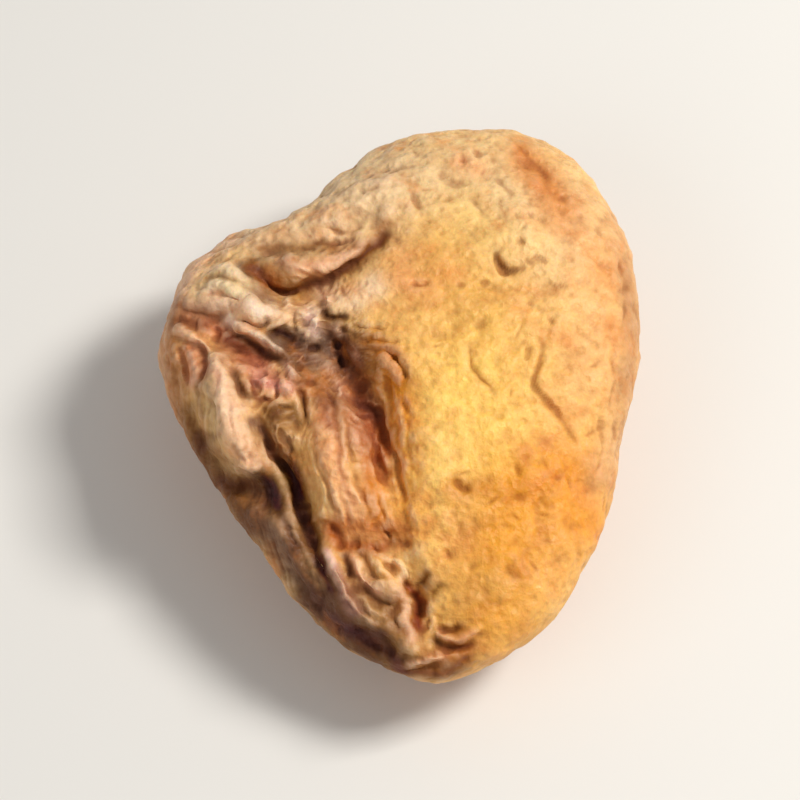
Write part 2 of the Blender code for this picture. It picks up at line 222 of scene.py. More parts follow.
SUTURE_MARKS = (
    Mark(0.30, 1.20, ((-5.1, -1.4), (-4.5, -3.6), (-3.5, -7.0))),
    Mark(-0.36, 0.34, ((-9.7, -1.2), (-9.1, -1.6), (-8.6, -2.6), (-8.0, -3.8), (-7.3, -4.7), (-6.9, -5.6),
                       (-6.5, -7.0), (-6.1, -8.4), (-5.6, -9.8), (-4.9, -11.2), (-4.1, -12.6))),
    Mark(-0.34, 0.80, ((-4.0, 3.2), (-3.2, 1.4), (-2.7, 0.0), (-2.0, -1.6))),
    Mark(-0.26, 0.26, ((-2.9, 1.2), (-2.3, -0.2), (-1.5, -1.0), (-1.0, -2.0), (-0.8, -3.2))),
    Mark(-0.26, 0.26, ((-1.9, -2.8), (-1.6, -3.6), (-1.2, -4.8), (-0.9, -5.8))),
    Mark(0.20, 0.26, ((-2.1, 0.3), (-1.6, -0.5))),
    Mark(-0.22, 0.20, ((-2.9, -0.9), (-2.2, -1.0), (-1.6, -1.4))),
    Mark(0.18, 0.26, ((-1.5, -2.0), (-1.2, -3.4), (-0.8, -4.8))),
    Mark(-0.16, 0.24, ((-1.1, 2.2), (-0.7, 0.4), (-0.2, -1.6), (0.1, -3.4))),
    Mark(-0.20, 0.22, ((-0.4, -3.2), (0.0, -4.6), (0.3, -6.6))),
    Mark(-0.12, 0.24, ((0.2, 0.8), (0.6, -1.6), (0.9, -4.6))),
    Mark(-0.18, 0.20, ((-4.7, 0.8), (-4.3, -0.6), (-3.9, -2.4))),
    Mark(0.14, 0.22, ((-3.9, -1.6), (-3.5, -3.4), (-3.3, -5.0))),
    Mark(-0.18, 0.20, ((-3.7, -0.8), (-3.1, -3.0), (-2.8, -4.8), (-2.3, -6.4), (-1.8, -7.4))),
    Mark(0.14, 0.22, ((-2.9, -1.8), (-2.5, -3.2), (-2.1, -4.8))),
    Mark(-0.16, 0.20, ((-5.6, -2.6), (-5.2, -4.6), (-4.6, -6.2), (-4.1, -7.6))),
    Mark(0.16, 0.22, ((-5.1, -6.2), (-4.9, -8.0))),
    Mark(0.14, 0.22, ((-2.9, -5.6), (-2.6, -7.0))),
    Mark(-0.14, 0.18, ((-3.8, -5.6), (-3.4, -7.2), (-3.2, -8.4))),
    Mark(-0.14, 0.18, ((-1.3, -5.9), (-1.1, -7.0), (-0.8, -8.0))),
    Mark(-0.40, 0.28, ((-6.4, 0.9), (-6.2, -0.2), (-6.2, -1.4))),
    Mark(-0.30, 0.24, ((-7.5, -1.8), (-7.4, -2.6), (-7.0, -3.6))),
    Mark(-0.18, 0.18, ((-8.4, -0.3), (-7.7, -0.5), (-7.0, -0.4))),
    Mark(-0.16, 0.18, ((-8.6, -1.2), (-7.7, -1.3), (-6.8, -1.2))),
    Mark(0.20, 0.28, ((-7.1, -2.4), (-6.5, -2.4))),
    Mark(0.18, 0.26, ((-8.3, -1.9), (-7.9, -3.2))),
    Mark(-0.40, 0.34, ((-0.6, -8.6), (-0.8, -8.9))),
    Mark(-0.36, 0.34, ((-1.4, -9.6), (-1.8, -9.8))),
    Mark(-0.24, 0.30, ((0.5, -9.1), (0.8, -9.4))),
    Mark(-0.30, 0.40, ((-4.7, -8.2), (-4.0, -8.8), (-3.5, -9.6))),
    Mark(-0.22, 0.34, ((-3.2, -9.2), (-2.2, -9.2))),
    Mark(-0.32, 0.24, ((-1.9, 3.3), (-0.8, 3.1), (0.1, 2.5), (0.5, 1.6), (0.4, 0.8))),
    Mark(-0.24, 0.24, ((-2.8, 5.0), (-2.0, 4.8), (-0.9, 4.6))),
    Mark(-0.18, 0.22, ((-2.4, 3.9), (-1.2, 3.8), (0.2, 4.0))),
    Mark(0.14, 0.26, ((-1.2, 2.5), (-0.5, 2.3), (0.0, 1.4))),
)

STEM_MARKS = (
    Mark(-0.40, 0.42, ((-8.4, 4.5), (-7.7, 4.3), (-7.0, 3.9))),
    Mark(-0.46, 0.28, ((-5.2, 6.3), (-4.7, 5.8), (-4.2, 5.6), (-3.2, 5.5))),
    Mark(-0.30, 0.28, ((-4.6, 5.4), (-4.6, 4.8))),
    Mark(-0.36, 0.30, ((-3.9, 3.7), (-4.0, 3.2))),
    Mark(-0.42, 0.32, ((-4.0, 2.7), (-3.6, 2.2))),
    Mark(-0.26, 0.30, ((-3.7, 4.7),)),
    Mark(-0.34, 0.30, ((-6.1, 3.4), (-5.2, 3.3))),
    Mark(-0.30, 0.24, ((-6.8, 2.4), (-6.2, 2.4))),
    Mark(-0.20, 0.24, ((-6.0, 1.3), (-5.6, 0.8))),
    Mark(-0.24, 0.22, ((-7.0, 5.7), (-6.9, 5.0), (-6.9, 4.4))),
    Mark(-0.20, 0.20, ((-6.8, 5.2), (-6.0, 5.2), (-5.4, 5.9))),
    Mark(0.26, 0.26, ((-6.8, 5.8), (-5.9, 5.8))),
    Mark(0.34, 0.44, ((-6.4, 4.4), (-5.9, 4.1))),
    Mark(0.40, 0.36, ((-5.6, 5.6), (-5.3, 5.0), (-5.2, 4.5))),
    Mark(0.32, 0.28, ((-7.5, 6.8), (-7.4, 6.1))),
    Mark(0.40, 0.46, ((-10.1, 6.5), (-9.3, 5.9), (-8.4, 5.9))),
    Mark(0.26, 0.28, ((-4.9, 7.1), (-4.8, 6.5))),
    Mark(0.24, 0.34, ((-4.2, 4.9), (-3.9, 4.4))),
    Mark(0.20, 0.30, ((-5.4, 2.5), (-4.6, 2.3))),
    Mark(0.22, 0.30, ((-3.0, 3.2), (-2.8, 2.6))),
    Mark(0.24, 0.30, ((-3.9, 0.9), (-3.6, 0.4))),
    Mark(0.20, 0.24, ((-6.6, 3.0), (-6.4, 2.8))),
)

TIP_MARKS = (
    Mark(-0.46, 0.46, ((1.1, -12.2), (1.3, -12.9), (1.3, -13.7), (1.2, -14.5))),
    Mark(-0.34, 0.30, ((0.5, -11.6), (0.9, -12.1))),
    Mark(-0.26, 0.30, ((1.9, -11.3), (1.7, -12.0))),
    Mark(-0.22, 0.34, ((2.8, -12.3), (2.1, -12.6))),
    Mark(-0.22, 0.20, ((2.2, -13.8), (1.8, -14.6), (1.3, -15.0))),
    Mark(-0.20, 0.18, ((0.4, -13.0), (0.9, -13.4))),
    Mark(0.22, 0.26, ((0.3, -12.3), (0.6, -13.2), (0.5, -14.2), (0.9, -15.3))),
    Mark(0.18, 0.26, ((2.1, -13.0), (2.0, -13.9), (2.2, -14.5))),
    Mark(0.30, 0.26, ((2.4, -15.2), (3.5, -15.6), (4.6, -15.2), (5.3, -14.5))),
    Mark(-0.28, 0.28, ((2.6, -14.8), (3.4, -15.0), (4.2, -14.6))),
    Mark(-0.32, 0.26, ((2.0, -15.5), (2.9, -16.0), (4.2, -16.1), (5.2, -15.6))),
    Mark(-0.34, 0.24, ((-3.5, -10.0), (-3.3, -10.9), (-2.9, -11.9))),
    Mark(0.26, 0.26, ((-3.0, -10.2), (-2.5, -11.2), (-1.9, -11.9), (-1.1, -12.4))),
    Mark(-0.30, 0.22, ((-2.4, -10.0), (-2.1, -10.7), (-1.5, -11.3), (-0.7, -11.7))),
    Mark(0.20, 0.22, ((-1.8, -10.5), (-1.1, -11.1))),
    Mark(-0.24, 0.20, ((-1.2, -10.5), (-0.6, -11.0), (0.0, -11.6))),
    Mark(0.24, 0.24, ((-0.4, -10.4), (0.3, -11.0), (0.6, -11.5))),
    Mark(-0.22, 0.22, ((-1.8, -12.6), (-1.1, -13.1), (-0.4, -13.4))),
    Mark(-0.20, 0.24, ((-2.7, -12.9), (-2.2, -13.6), (-1.4, -14.3))),
    Mark(0.16, 0.26, ((-2.3, -13.1), (-1.5, -13.7), (-0.5, -14.2))),
    Mark(-0.18, 0.20, ((-0.2, -13.0), (-0.3, -14.0), (0.2, -15.0))),
    Mark(-0.40, 0.60, ((-3.9, -14.2), (-2.4, -15.3), (-0.8, -16.2), (0.3, -16.9))),
    Mark(0.40, 0.30, ((0.8, -17.0), (1.7, -16.8), (2.8, -16.6))),
    Mark(-0.30, 0.28, ((0.3, -17.4), (1.8, -17.5), (3.2, -17.0))),
    Mark(-0.22, 0.22, ((0.2, -16.4), (0.6, -16.9))),
    Mark(0.36, 0.32, ((-4.7, -9.8), (-4.2, -11.0), (-3.7, -12.2), (-3.0, -13.2))),
    Mark(-0.30, 0.24, ((-5.1, -10.2), (-4.8, -11.2), (-4.3, -12.6))),
    Mark(-0.14, 0.34, ((-9.1, -7.9), (-7.3, -10.6), (-5.2, -13.4), (-2.6, -15.9))),
    Mark(0.12, 0.30, ((-8.6, -7.4), (-6.9, -10.2), (-5.0, -13.0))),
    Mark(-0.12, 0.24, ((-7.9, -7.4), (-6.6, -9.4), (-5.4, -11.6))),
    Mark(-0.13, 0.30, ((-5.2, -14.0), (-2.8, -16.4), (0.0, -17.9))),
)

CHEEK_MARKS = (
    Mark(-0.38, 0.32, ((6.7, 10.1), (6.8, 9.3), (7.2, 8.8), (7.9, 8.6), (8.5, 8.8))),
    Mark(-0.22, 0.30, ((8.4, 9.0), (9.1, 9.4), (10.0, 9.6))),
    Mark(0.20, 0.80, ((8.9, 11.0),)),
    Mark(-0.28, 0.32, ((8.1, 10.7),)),
    Mark(-0.18, 0.25, ((7.8, 12.3),)),
    Mark(-0.20, 0.26, ((8.5, 12.4), (9.1, 12.2))),
    Mark(-0.22, 0.30, ((0.6, 7.8), (1.4, 7.6), (2.2, 7.7))),
    Mark(-0.16, 0.25, ((5.6, 8.1), (5.8, 7.6))),
    Mark(-0.12, 0.30, ((4.1, 7.7),)),
    Mark(-0.14, 0.40, ((5.4, 5.0),)),
    Mark(-0.22, 0.26, ((10.2, 5.2),)),
    Mark(-0.10, 0.60, ((2.0, 4.4), (3.2, 4.2))),
    Mark(-0.20, 0.30, ((4.7, 3.6), (4.8, 2.4), (5.4, 1.4), (6.3, 0.4))),
    Mark(-0.22, 0.26, ((9.7, 3.9), (9.4, 2.6), (9.1, 1.6), (9.3, 0.6), (10.4, -0.8), (11.8, -2.7))),
    Mark(-0.16, 0.26, ((8.6, 3.8), (8.5, 2.6))),
    Mark(-0.28, 0.30, ((3.8, -5.1), (4.2, -5.8), (4.7, -5.6))),
    Mark(-0.14, 0.34, ((3.5, -6.4), (3.6, -7.4), (4.1, -8.6))),
    Mark(-0.22, 0.36, ((3.2, -10.2),)),
    Mark(-0.16, 0.50, ((5.7, -12.4),)),
    Mark(-0.12, 0.40, ((4.9, -10.9),)),
    Mark(-0.14, 0.45, ((8.0, -6.2),)),
    Mark(-0.14, 0.40, ((10.6, -5.0),)),
    Mark(-0.12, 0.45, ((7.2, -11.0),)),
    Mark(-0.14, 0.24, ((15.0, 10.2), (15.2, 7.6), (15.1, 4.8))),
    Mark(-0.13, 0.24, ((14.3, 4.2), (14.4, 1.5), (13.9, -1.7))),
    Mark(-0.12, 0.24, ((14.9, 2.6), (14.6, -0.5), (14.0, -3.6))),
    Mark(-0.12, 0.24, ((13.5, -0.8), (13.4, -3.6), (12.9, -5.6))),
    Mark(-0.12, 0.30, ((13.6, 12.0), (14.2, 9.4))),
)

CHEEK_TINTS = (
    Tint((234, 202, 152), 0.85, 5.0, ((-2.0, 15.0), (4.0, 15.5), (10.0, 12.5))),
    Tint((228, 174, 90), 0.85, 4.0, ((4.0, 9.0), (6.0, 3.0))),
    # the cheek's yellow, brightened here and along the pale strip below as painted highlight where the skin
    # faces the light
    Tint((254, 208, 108), 0.85, 3.4, ((4.6, 0.6), (6.0, -3.0))),
    Tint((252, 206, 118), 0.85, 1.3, ((2.7, -3.0), (2.4, -9.4))),
    # deeper orange toward the lower right: painted shade where the cheek turns down away from the light,
    # over the skin's own orange
    Tint((230, 152, 38), 0.85, 3.2, ((8.0, -6.0), (7.0, -10.0), (6.0, -13.0))),
    Tint((222, 168, 92), 0.55, 1.5, ((4.4, -12.6), (6.4, -12.2))),
    Tint((218, 142, 48), 0.60, 0.8, ((3.6, -5.8), (6.6, -5.8), (9.0, -5.1), (11.4, -4.5))),
    Tint((128, 84, 40), 0.70, 0.24, ((6.7, 10.0), (6.8, 9.3), (7.2, 8.8), (7.8, 8.6))),
    Tint((168, 108, 40), 0.60, 0.34, ((3.7, -5.2), (4.2, -5.8), (4.8, -5.5))),
    Tint((186, 126, 56), 0.50, 0.30, ((4.7, 3.6), (4.8, 2.4), (5.4, 1.4), (6.3, 0.4))),
    Tint((186, 122, 50), 0.55, 0.28, ((9.4, 2.6), (9.1, 1.6), (9.3, 0.6), (10.4, -0.8), (11.8, -2.7))),
    # the same painted shade at the lower right edge of the cheek
    Tint((228, 146, 48), 0.80, 2.4, ((11.0, -4.6), (12.0, -8.0))),
    Tint((214, 164, 116), 0.75, 1.3, ((15.0, 12.6), (15.8, 6.0), (15.2, 0.0), (13.8, -5.0))),
    # orange on the cheek's left slope into the suture: the skin's own orange, deepened as painted shade on
    # the slope facing away from the light
    Tint((244, 158, 52), 0.92, 1.1, ((-0.6, 1.6), (0.3, -0.8), (0.6, -3.8), (0.9, -8.2))),
    Tint((200, 120, 32), 0.92, 0.9, ((-1.6, 3.8), (-0.4, 2.6), (0.2, 1.2))),
    Tint((222, 145, 82), 0.55, 1.1, ((0.2, 7.9), (2.0, 7.6))),
    Tint((230, 162, 104), 0.55, 1.1, ((0.2, 10.0), (0.8, 8.0))),
    Tint((206, 126, 60), 0.80, 1.2, ((8.4, 16.8), (10.0, 14.8), (11.3, 13.0))),
    Tint((232, 160, 106), 0.65, 0.8, ((4.4, 16.0), (5.4, 15.6))),
    Tint((228, 166, 96), 0.45, 1.2, ((2.4, 9.6), (4.0, 8.2))),
    Tint((248, 206, 136), 0.55, 1.2, ((8.0, 10.4), (9.6, 11.0))),
    Tint((244, 206, 130), 0.50, 1.6, ((4.6, 12.4), (5.4, 10.8))),
    Tint((236, 176, 118), 0.45, 1.8, ((12.4, 12.0), (13.0, 7.0), (13.0, 2.0))),
    Tint((218, 142, 78), 0.50, 1.2, ((8.8, 15.6), (10.2, 13.6), (10.6, 11.8))),
    Tint((222, 150, 70), 0.40, 0.9, ((3.6, -5.8), (4.2, -8.0), (3.6, -10.4))),
    Tint((255, 216, 174), 0.90, 1.0, ((-4.8, 7.2), (-3.2, 6.8), (-1.6, 7.6))),
)

SUTURE_TINTS = (
    Tint((176, 104, 70), 0.85, 1.3, ((-4.0, 3.2), (-2.8, 0.4), (-1.8, -2.2), (-1.5, -3.4))),
    Tint((150, 86, 60), 0.70, 0.90, ((-4.0, 3.0), (-3.2, 1.2), (-2.6, -0.4), (-1.9, -1.8))),
    Tint((116, 56, 38), 0.80, 0.55, ((-3.2, 2.6), (-2.5, 0.8), (-2.1, -0.6), (-1.4, -1.6))),
    Tint((170, 98, 66), 0.70, 0.65, ((-2.0, -1.4), (-1.6, -3.2))),
    Tint((170, 92, 40), 0.75, 0.35, ((-1.0, -1.6), (-0.8, -3.2))),
    Tint((206, 124, 58), 0.80, 0.60, ((-1.6, -3.6), (-1.2, -5.2))),
    # pale along the middle of the tongue: painted highlight that makes it read as rounded
    Tint((244, 182, 128), 0.92, 1.4, ((-4.9, -1.2), (-4.4, -3.0), (-3.5, -6.0), (-2.9, -7.4))),
    Tint((182, 112, 86), 0.80, 0.6, ((-5.0, 0.6), (-4.6, -1.4))),
    Tint((208, 136, 100), 0.65, 0.45, ((-3.4, -0.6), (-2.7, -2.4))),
    Tint((214, 162, 92), 0.65, 0.40, ((-2.9, -3.4), (-2.7, -5.2))),
    # darker along the tongue's right side: painted shade
    Tint((196, 118, 70), 0.50, 0.34, ((-2.6, -2.8), (-2.2, -4.8), (-1.9, -6.8))),
    Tint((190, 120, 82), 0.55, 0.22, ((-4.3, -1.4), (-3.7, -3.8), (-3.0, -6.8))),
    Tint((196, 124, 80), 0.50, 0.20, ((-5.3, -2.4), (-4.7, -5.0), (-4.0, -7.6))),
    Tint((204, 124, 42), 0.90, 0.9, ((-1.8, -5.6), (-1.2, -7.6))),
    Tint((214, 130, 70), 0.75, 0.7, ((-4.4, -8.0), (-2.8, -8.3), (-1.2, -8.3), (0.2, -8.2))),
    Tint((164, 78, 28), 0.85, 0.65, ((-4.6, -8.6), (-3.4, -9.4), (-1.6, -9.6), (0.2, -9.3))),
    # the dark strokes beside the left crease are painted shade, darkening the crease and the tongue's left
    # side
    Tint((84, 36, 14), 0.92, 0.47, ((-9.5, -1.4), (-8.7, -2.4), (-7.4, -4.6), (-6.6, -7.0), (-5.6, -9.8),
                                    (-4.9, -11.2))),
    Tint((92, 42, 18), 0.88, 0.60, ((-7.2, -3.6), (-6.5, -5.4), (-6.0, -7.4), (-5.5, -9.2))),
    Tint((64, 24, 6), 0.75, 0.36, ((-7.3, -4.3), (-6.8, -5.1), (-6.4, -6.2))),
    Tint((138, 96, 60), 0.85, 0.75, ((-8.3, -0.6), (-7.6, -3.2))),
    Tint((140, 92, 46), 0.75, 0.40, ((-6.3, 0.2), (-6.2, -1.4))),
    Tint((216, 172, 126), 0.70, 0.40, ((-7.1, -2.4), (-6.4, -2.6))),
)

LOBE_TINTS = (
    # outer flank: olive tan, partly the skin's own colour and partly painted half shade
    Tint((174, 114, 72), 0.85, 1.3, ((-15.5, 5.0), (-15.0, 0.0), (-13.8, -3.2))),
    Tint((214, 160, 120), 0.60, 0.45, ((-15.9, 5.6), (-15.8, 1.0), (-14.9, -2.4))),
    Tint((130, 86, 40), 0.75, 0.8, ((-14.0, -0.8), (-13.2, -3.4))),
    Tint((236, 192, 154), 0.95, 1.2, ((-12.0, 2.2), (-11.1, -0.6), (-10.2, -3.0), (-9.6, -4.4))),
    Tint((206, 170, 116), 0.65, 0.55, ((-12.7, 1.4), (-12.4, -0.4), (-12.2, -2.4))),
    Tint((250, 212, 176), 0.70, 0.45, ((-12.2, 2.6), (-11.5, 1.0), (-11.6, -0.4), (-10.4, -0.6))),
    # painted shadow below the left finger's rounded end
    Tint((126, 92, 70), 0.90, 0.7, ((-8.6, -5.6), (-7.6, -7.6), (-6.7, -9.6))),
    Tint((126, 70, 22), 0.90, 0.9, ((-11.6, -5.6), (-9.8, -5.8), (-8.6, -6.6))),
    Tint((212, 138, 108), 0.80, 0.7, ((-13.8, 3.4), (-13.5, 1.4))),
    Tint((168, 92, 66), 0.80, 0.35, ((-13.0, 3.4), (-12.8, 2.0))),
    Tint((200, 114, 78), 0.92, 0.9, ((-14.0, 5.5), (-12.2, 4.9), (-10.6, 3.4), (-9.2, 2.9))),
    Tint((206, 132, 100), 0.75, 0.45, ((-11.7, 4.9), (-11.2, 4.2))),
    Tint((212, 136, 104), 0.70, 0.28, ((-13.3, 4.9), (-12.7, 4.8))),
    Tint((196, 122, 94), 0.75, 0.7, ((-10.2, 2.2), (-8.6, 2.3))),
    Tint((230, 160, 144), 0.90, 0.8, ((-9.2, 1.3), (-7.2, 0.9))),
    Tint((142, 72, 48), 0.80, 0.30, ((-9.7, 1.2), (-9.4, 0.1), (-8.8, 0.0))),
    Tint((122, 82, 48), 0.80, 0.35, ((-10.8, 1.8), (-10.4, 0.7), (-9.9, 0.1))),
    Tint((232, 202, 156), 0.95, 1.6, ((-13.0, 7.2), (-10.6, 7.8))),
    # painted highlights on the lobe's pale arcs
    Tint((255, 230, 192), 0.65, 0.28, ((-13.0, 8.6), (-11.8, 9.1), (-10.6, 8.7))),
    Tint((255, 230, 192), 0.60, 0.28, ((-12.9, 7.3), (-11.8, 7.6), (-10.6, 7.2))),
    Tint((250, 222, 168), 0.75, 0.45, ((-11.7, 7.5), (-10.3, 7.2), (-9.9, 6.6))),
    Tint((188, 150, 98), 0.65, 0.30, ((-13.2, 8.0), (-11.9, 8.3), (-10.9, 8.1))),
    Tint((240, 190, 152), 0.90, 0.75, ((-15.2, 6.4), (-13.8, 9.2), (-11.6, 10.8), (-9.0, 11.4))),
    Tint((160, 100, 66), 0.85, 0.75, ((-14.6, 6.4), (-13.2, 6.2), (-12.2, 6.1))),
    Tint((190, 150, 120), 0.75, 0.5, ((-9.4, 7.3), (-8.6, 6.8))),
    # the cord's pale stroke, brightened at its lower end as painted highlight where the cord turns from the
    # light
    Tint((255, 228, 206), 0.95, 0.36, ((-11.4, 5.5), (-9.6, 4.5), (-8.2, 3.6), (-7.8, 3.3))),
    Tint((255, 236, 214), 0.95, 0.6, ((-10.0, 6.3), (-9.2, 5.8), (-8.4, 5.9))),
    Tint((232, 186, 170), 0.88, 0.36, ((-7.3, 2.3), (-6.8, 1.7))),
    Tint((104, 66, 48), 0.75, 0.30, ((-7.5, 3.0), (-7.1, 2.8))),
    Tint((132, 84, 64), 0.65, 0.40, ((-6.5, 1.3), (-6.2, 0.9))),
    Tint((240, 182, 138), 0.90, 0.32, ((-14.8, 4.8), (-14.0, 4.3), (-13.0, 3.7))),
    # painted shade in the hollow under the cord
    Tint((84, 42, 26), 0.88, 0.32, ((-10.6, 4.3), (-8.8, 3.0), (-7.8, 2.6))),
    Tint((120, 70, 46), 0.80, 0.26, ((-10.2, 5.3), (-9.4, 5.0), (-8.6, 5.3))),
)

SHOULDER_TINTS = (
    Tint((230, 196, 152), 0.90, 2.4, ((-9.0, 11.0), (-5.0, 12.4), (-1.0, 14.8))),
    Tint((236, 176, 136), 0.90, 0.70, ((-7.6, 9.3), (-6.8, 8.9), (-5.2, 9.0), (-2.8, 10.0))),
    Tint((158, 106, 58), 0.80, 0.45, ((-9.7, 10.2), (-6.0, 10.3), (-4.4, 10.2))),
    Tint((182, 126, 80), 0.75, 0.45, ((-4.4, 10.2), (-2.2, 10.4), (-1.0, 11.8))),
    Tint((240, 190, 140), 0.60, 0.45, ((-8.6, 10.9), (-5.4, 11.1), (-3.0, 11.2))),
    # the darkest strokes below the shoulder ridge are painted shadow in its crease
    Tint((58, 30, 8), 0.94, 0.72, ((-9.8, 8.9), (-9.3, 8.5), (-8.8, 8.1))),
    Tint((112, 52, 10), 0.90, 0.54, ((-9.5, 8.6), (-8.6, 7.8), (-6.8, 7.4), (-5.0, 8.0), (-2.9, 9.1),
                                    (-1.0, 10.9))),
    Tint((60, 28, 6), 0.70, 0.50, ((-9.6, 8.7), (-9.0, 8.3))),
)

STEM_TINTS = (
    Tint((118, 90, 70), 0.92, 1.0, ((-8.0, 4.4), (-6.6, 4.0), (-4.8, 3.6), (-3.6, 2.6))),
    Tint((236, 190, 146), 0.85, 0.6, ((-8.0, 5.6), (-6.8, 5.8), (-5.8, 5.9))),
    Tint((192, 158, 130), 0.90, 0.55, ((-6.4, 4.4), (-5.9, 4.1))),
    Tint((255, 224, 204), 0.95, 0.55, ((-5.7, 5.6), (-5.3, 4.6))),
    Tint((246, 202, 156), 0.92, 0.3, ((-7.5, 6.8), (-7.4, 6.1))),
    Tint((78, 32, 14), 0.88, 0.38, ((-5.0, 6.1), (-4.5, 5.6), (-3.6, 5.5))),
    Tint((82, 42, 26), 0.88, 0.5, ((-8.2, 4.5), (-7.4, 4.3), (-7.0, 3.8))),
    Tint((78, 36, 20), 0.85, 0.42, ((-3.9, 3.6), (-3.7, 2.3))),
    Tint((90, 56, 34), 0.80, 0.34, ((-6.0, 3.4), (-5.3, 3.3))),
    Tint((96, 66, 50), 0.60, 0.8, ((-7.4, 4.0), (-5.6, 3.4), (-4.4, 3.8))),
    Tint((90, 50, 30), 0.88, 0.75, ((-4.0, 4.6), (-3.3, 3.4), (-3.2, 1.8))),
    Tint((152, 116, 98), 0.80, 0.5, ((-5.8, 2.6), (-4.6, 2.2))),
    Tint((140, 84, 44), 0.60, 0.7, ((-2.6, 4.4), (-2.0, 3.0), (-1.9, 1.8))),
    Tint((146, 96, 76), 0.75, 0.6, ((-5.8, 1.4), (-4.6, 1.3))),
    Tint((222, 164, 132), 0.85, 0.35, ((-3.9, 0.9), (-3.6, 0.4))),
    Tint((190, 146, 118), 0.75, 0.36, ((-4.2, 4.9), (-3.9, 4.4))),
    Tint((160, 104, 76), 0.75, 0.45, ((-3.0, 3.3), (-2.8, 2.6))),
    Tint((236, 186, 150), 0.80, 0.34, ((-4.9, 7.0), (-4.8, 6.6))),
    Tint((198, 154, 132), 0.75, 0.26, ((-6.6, 3.0), (-6.4, 2.8))),
)

TIP_TINTS = (
    # the dark strokes down the lower left flank and along the bottom edge are painted shade where the fruit
    # turns down away from the light, over its grey-brown skin
    Tint((132, 98, 80), 0.92, 1.5, ((-9.4, -7.6), (-7.6, -10.0), (-5.6, -12.6))),
    Tint((116, 72, 44), 0.90, 1.3, ((-13.0, -4.6), (-10.8, -6.6), (-9.8, -8.2))),
    Tint((104, 66, 46), 0.88, 1.1, ((-5.8, -13.2), (-3.6, -15.4), (-1.4, -17.2))),
    Tint((86, 46, 26), 0.62, 0.75, ((-6.8, -9.4), (-6.2, -11.2), (-5.2, -12.8), (-4.3, -14.1))),
    Tint((88, 46, 14), 0.96, 1.1, ((-3.9, -14.6), (-2.2, -15.4), (-0.6, -16.3), (0.2, -17.0))),
    Tint((112, 58, 26), 0.92, 0.6, ((0.0, -17.5), (2.4, -17.8), (4.4, -16.8))),
    Tint((142, 94, 54), 0.90, 1.3, ((-2.6, -12.2), (-1.0, -13.2), (0.2, -14.8))),
    Tint((172, 134, 98), 0.70, 0.7, ((-2.8, -13.2), (-1.8, -14.4))),
    Tint((248, 192, 148), 0.90, 0.36, ((-3.0, -10.3), (-2.4, -11.4), (-1.2, -12.4))),
    Tint((250, 206, 150), 0.80, 0.34, ((-0.4, -10.5), (0.4, -11.1), (-0.1, -11.9))),
    Tint((236, 176, 132), 0.80, 0.30, ((0.3, -12.4), (0.6, -13.2), (0.5, -14.2), (0.9, -15.4))),
    Tint((228, 186, 176), 0.95, 0.30, ((-4.7, -9.8), (-4.3, -10.8))),
    Tint((178, 130, 114), 0.90, 0.50, ((-4.2, -11.2), (-3.5, -12.8), (-2.9, -13.8))),
    Tint((230, 170, 126), 0.90, 0.32, ((1.0, -17.0), (1.8, -16.8), (2.8, -16.6))),
    Tint((150, 66, 24), 0.92, 0.50, ((0.9, -12.1), (1.4, -12.9), (1.3, -13.8), (1.2, -14.6))),
    Tint((130, 72, 20), 0.80, 0.32, ((1.8, -11.3), (1.8, -12.0))),
    Tint((142, 76, 30), 0.75, 0.28, ((0.5, -11.6), (0.8, -12.0))),
    Tint((150, 92, 30), 0.75, 0.30, ((2.9, -12.2), (2.2, -12.6))),
    Tint((138, 72, 16), 0.80, 0.40, ((2.7, -14.9), (3.5, -15.1), (4.1, -14.8))),
    Tint((228, 162, 112), 0.85, 0.28, ((2.7, -15.3), (3.6, -15.6), (4.8, -15.1))),
    Tint((104, 54, 18), 0.85, 0.38, ((2.2, -15.6), (3.0, -16.1), (4.8, -15.9))),
    Tint((92, 44, 24), 0.85, 0.30, ((-3.4, -10.1), (-3.1, -11.4))),
    Tint((84, 34, 18), 0.85, 0.30, ((-5.0, -10.3), (-4.8, -11.2), (-4.4, -12.4))),
    Tint((164, 98, 52), 0.75, 0.28, ((-2.3, -10.1), (-1.9, -10.9))),
)
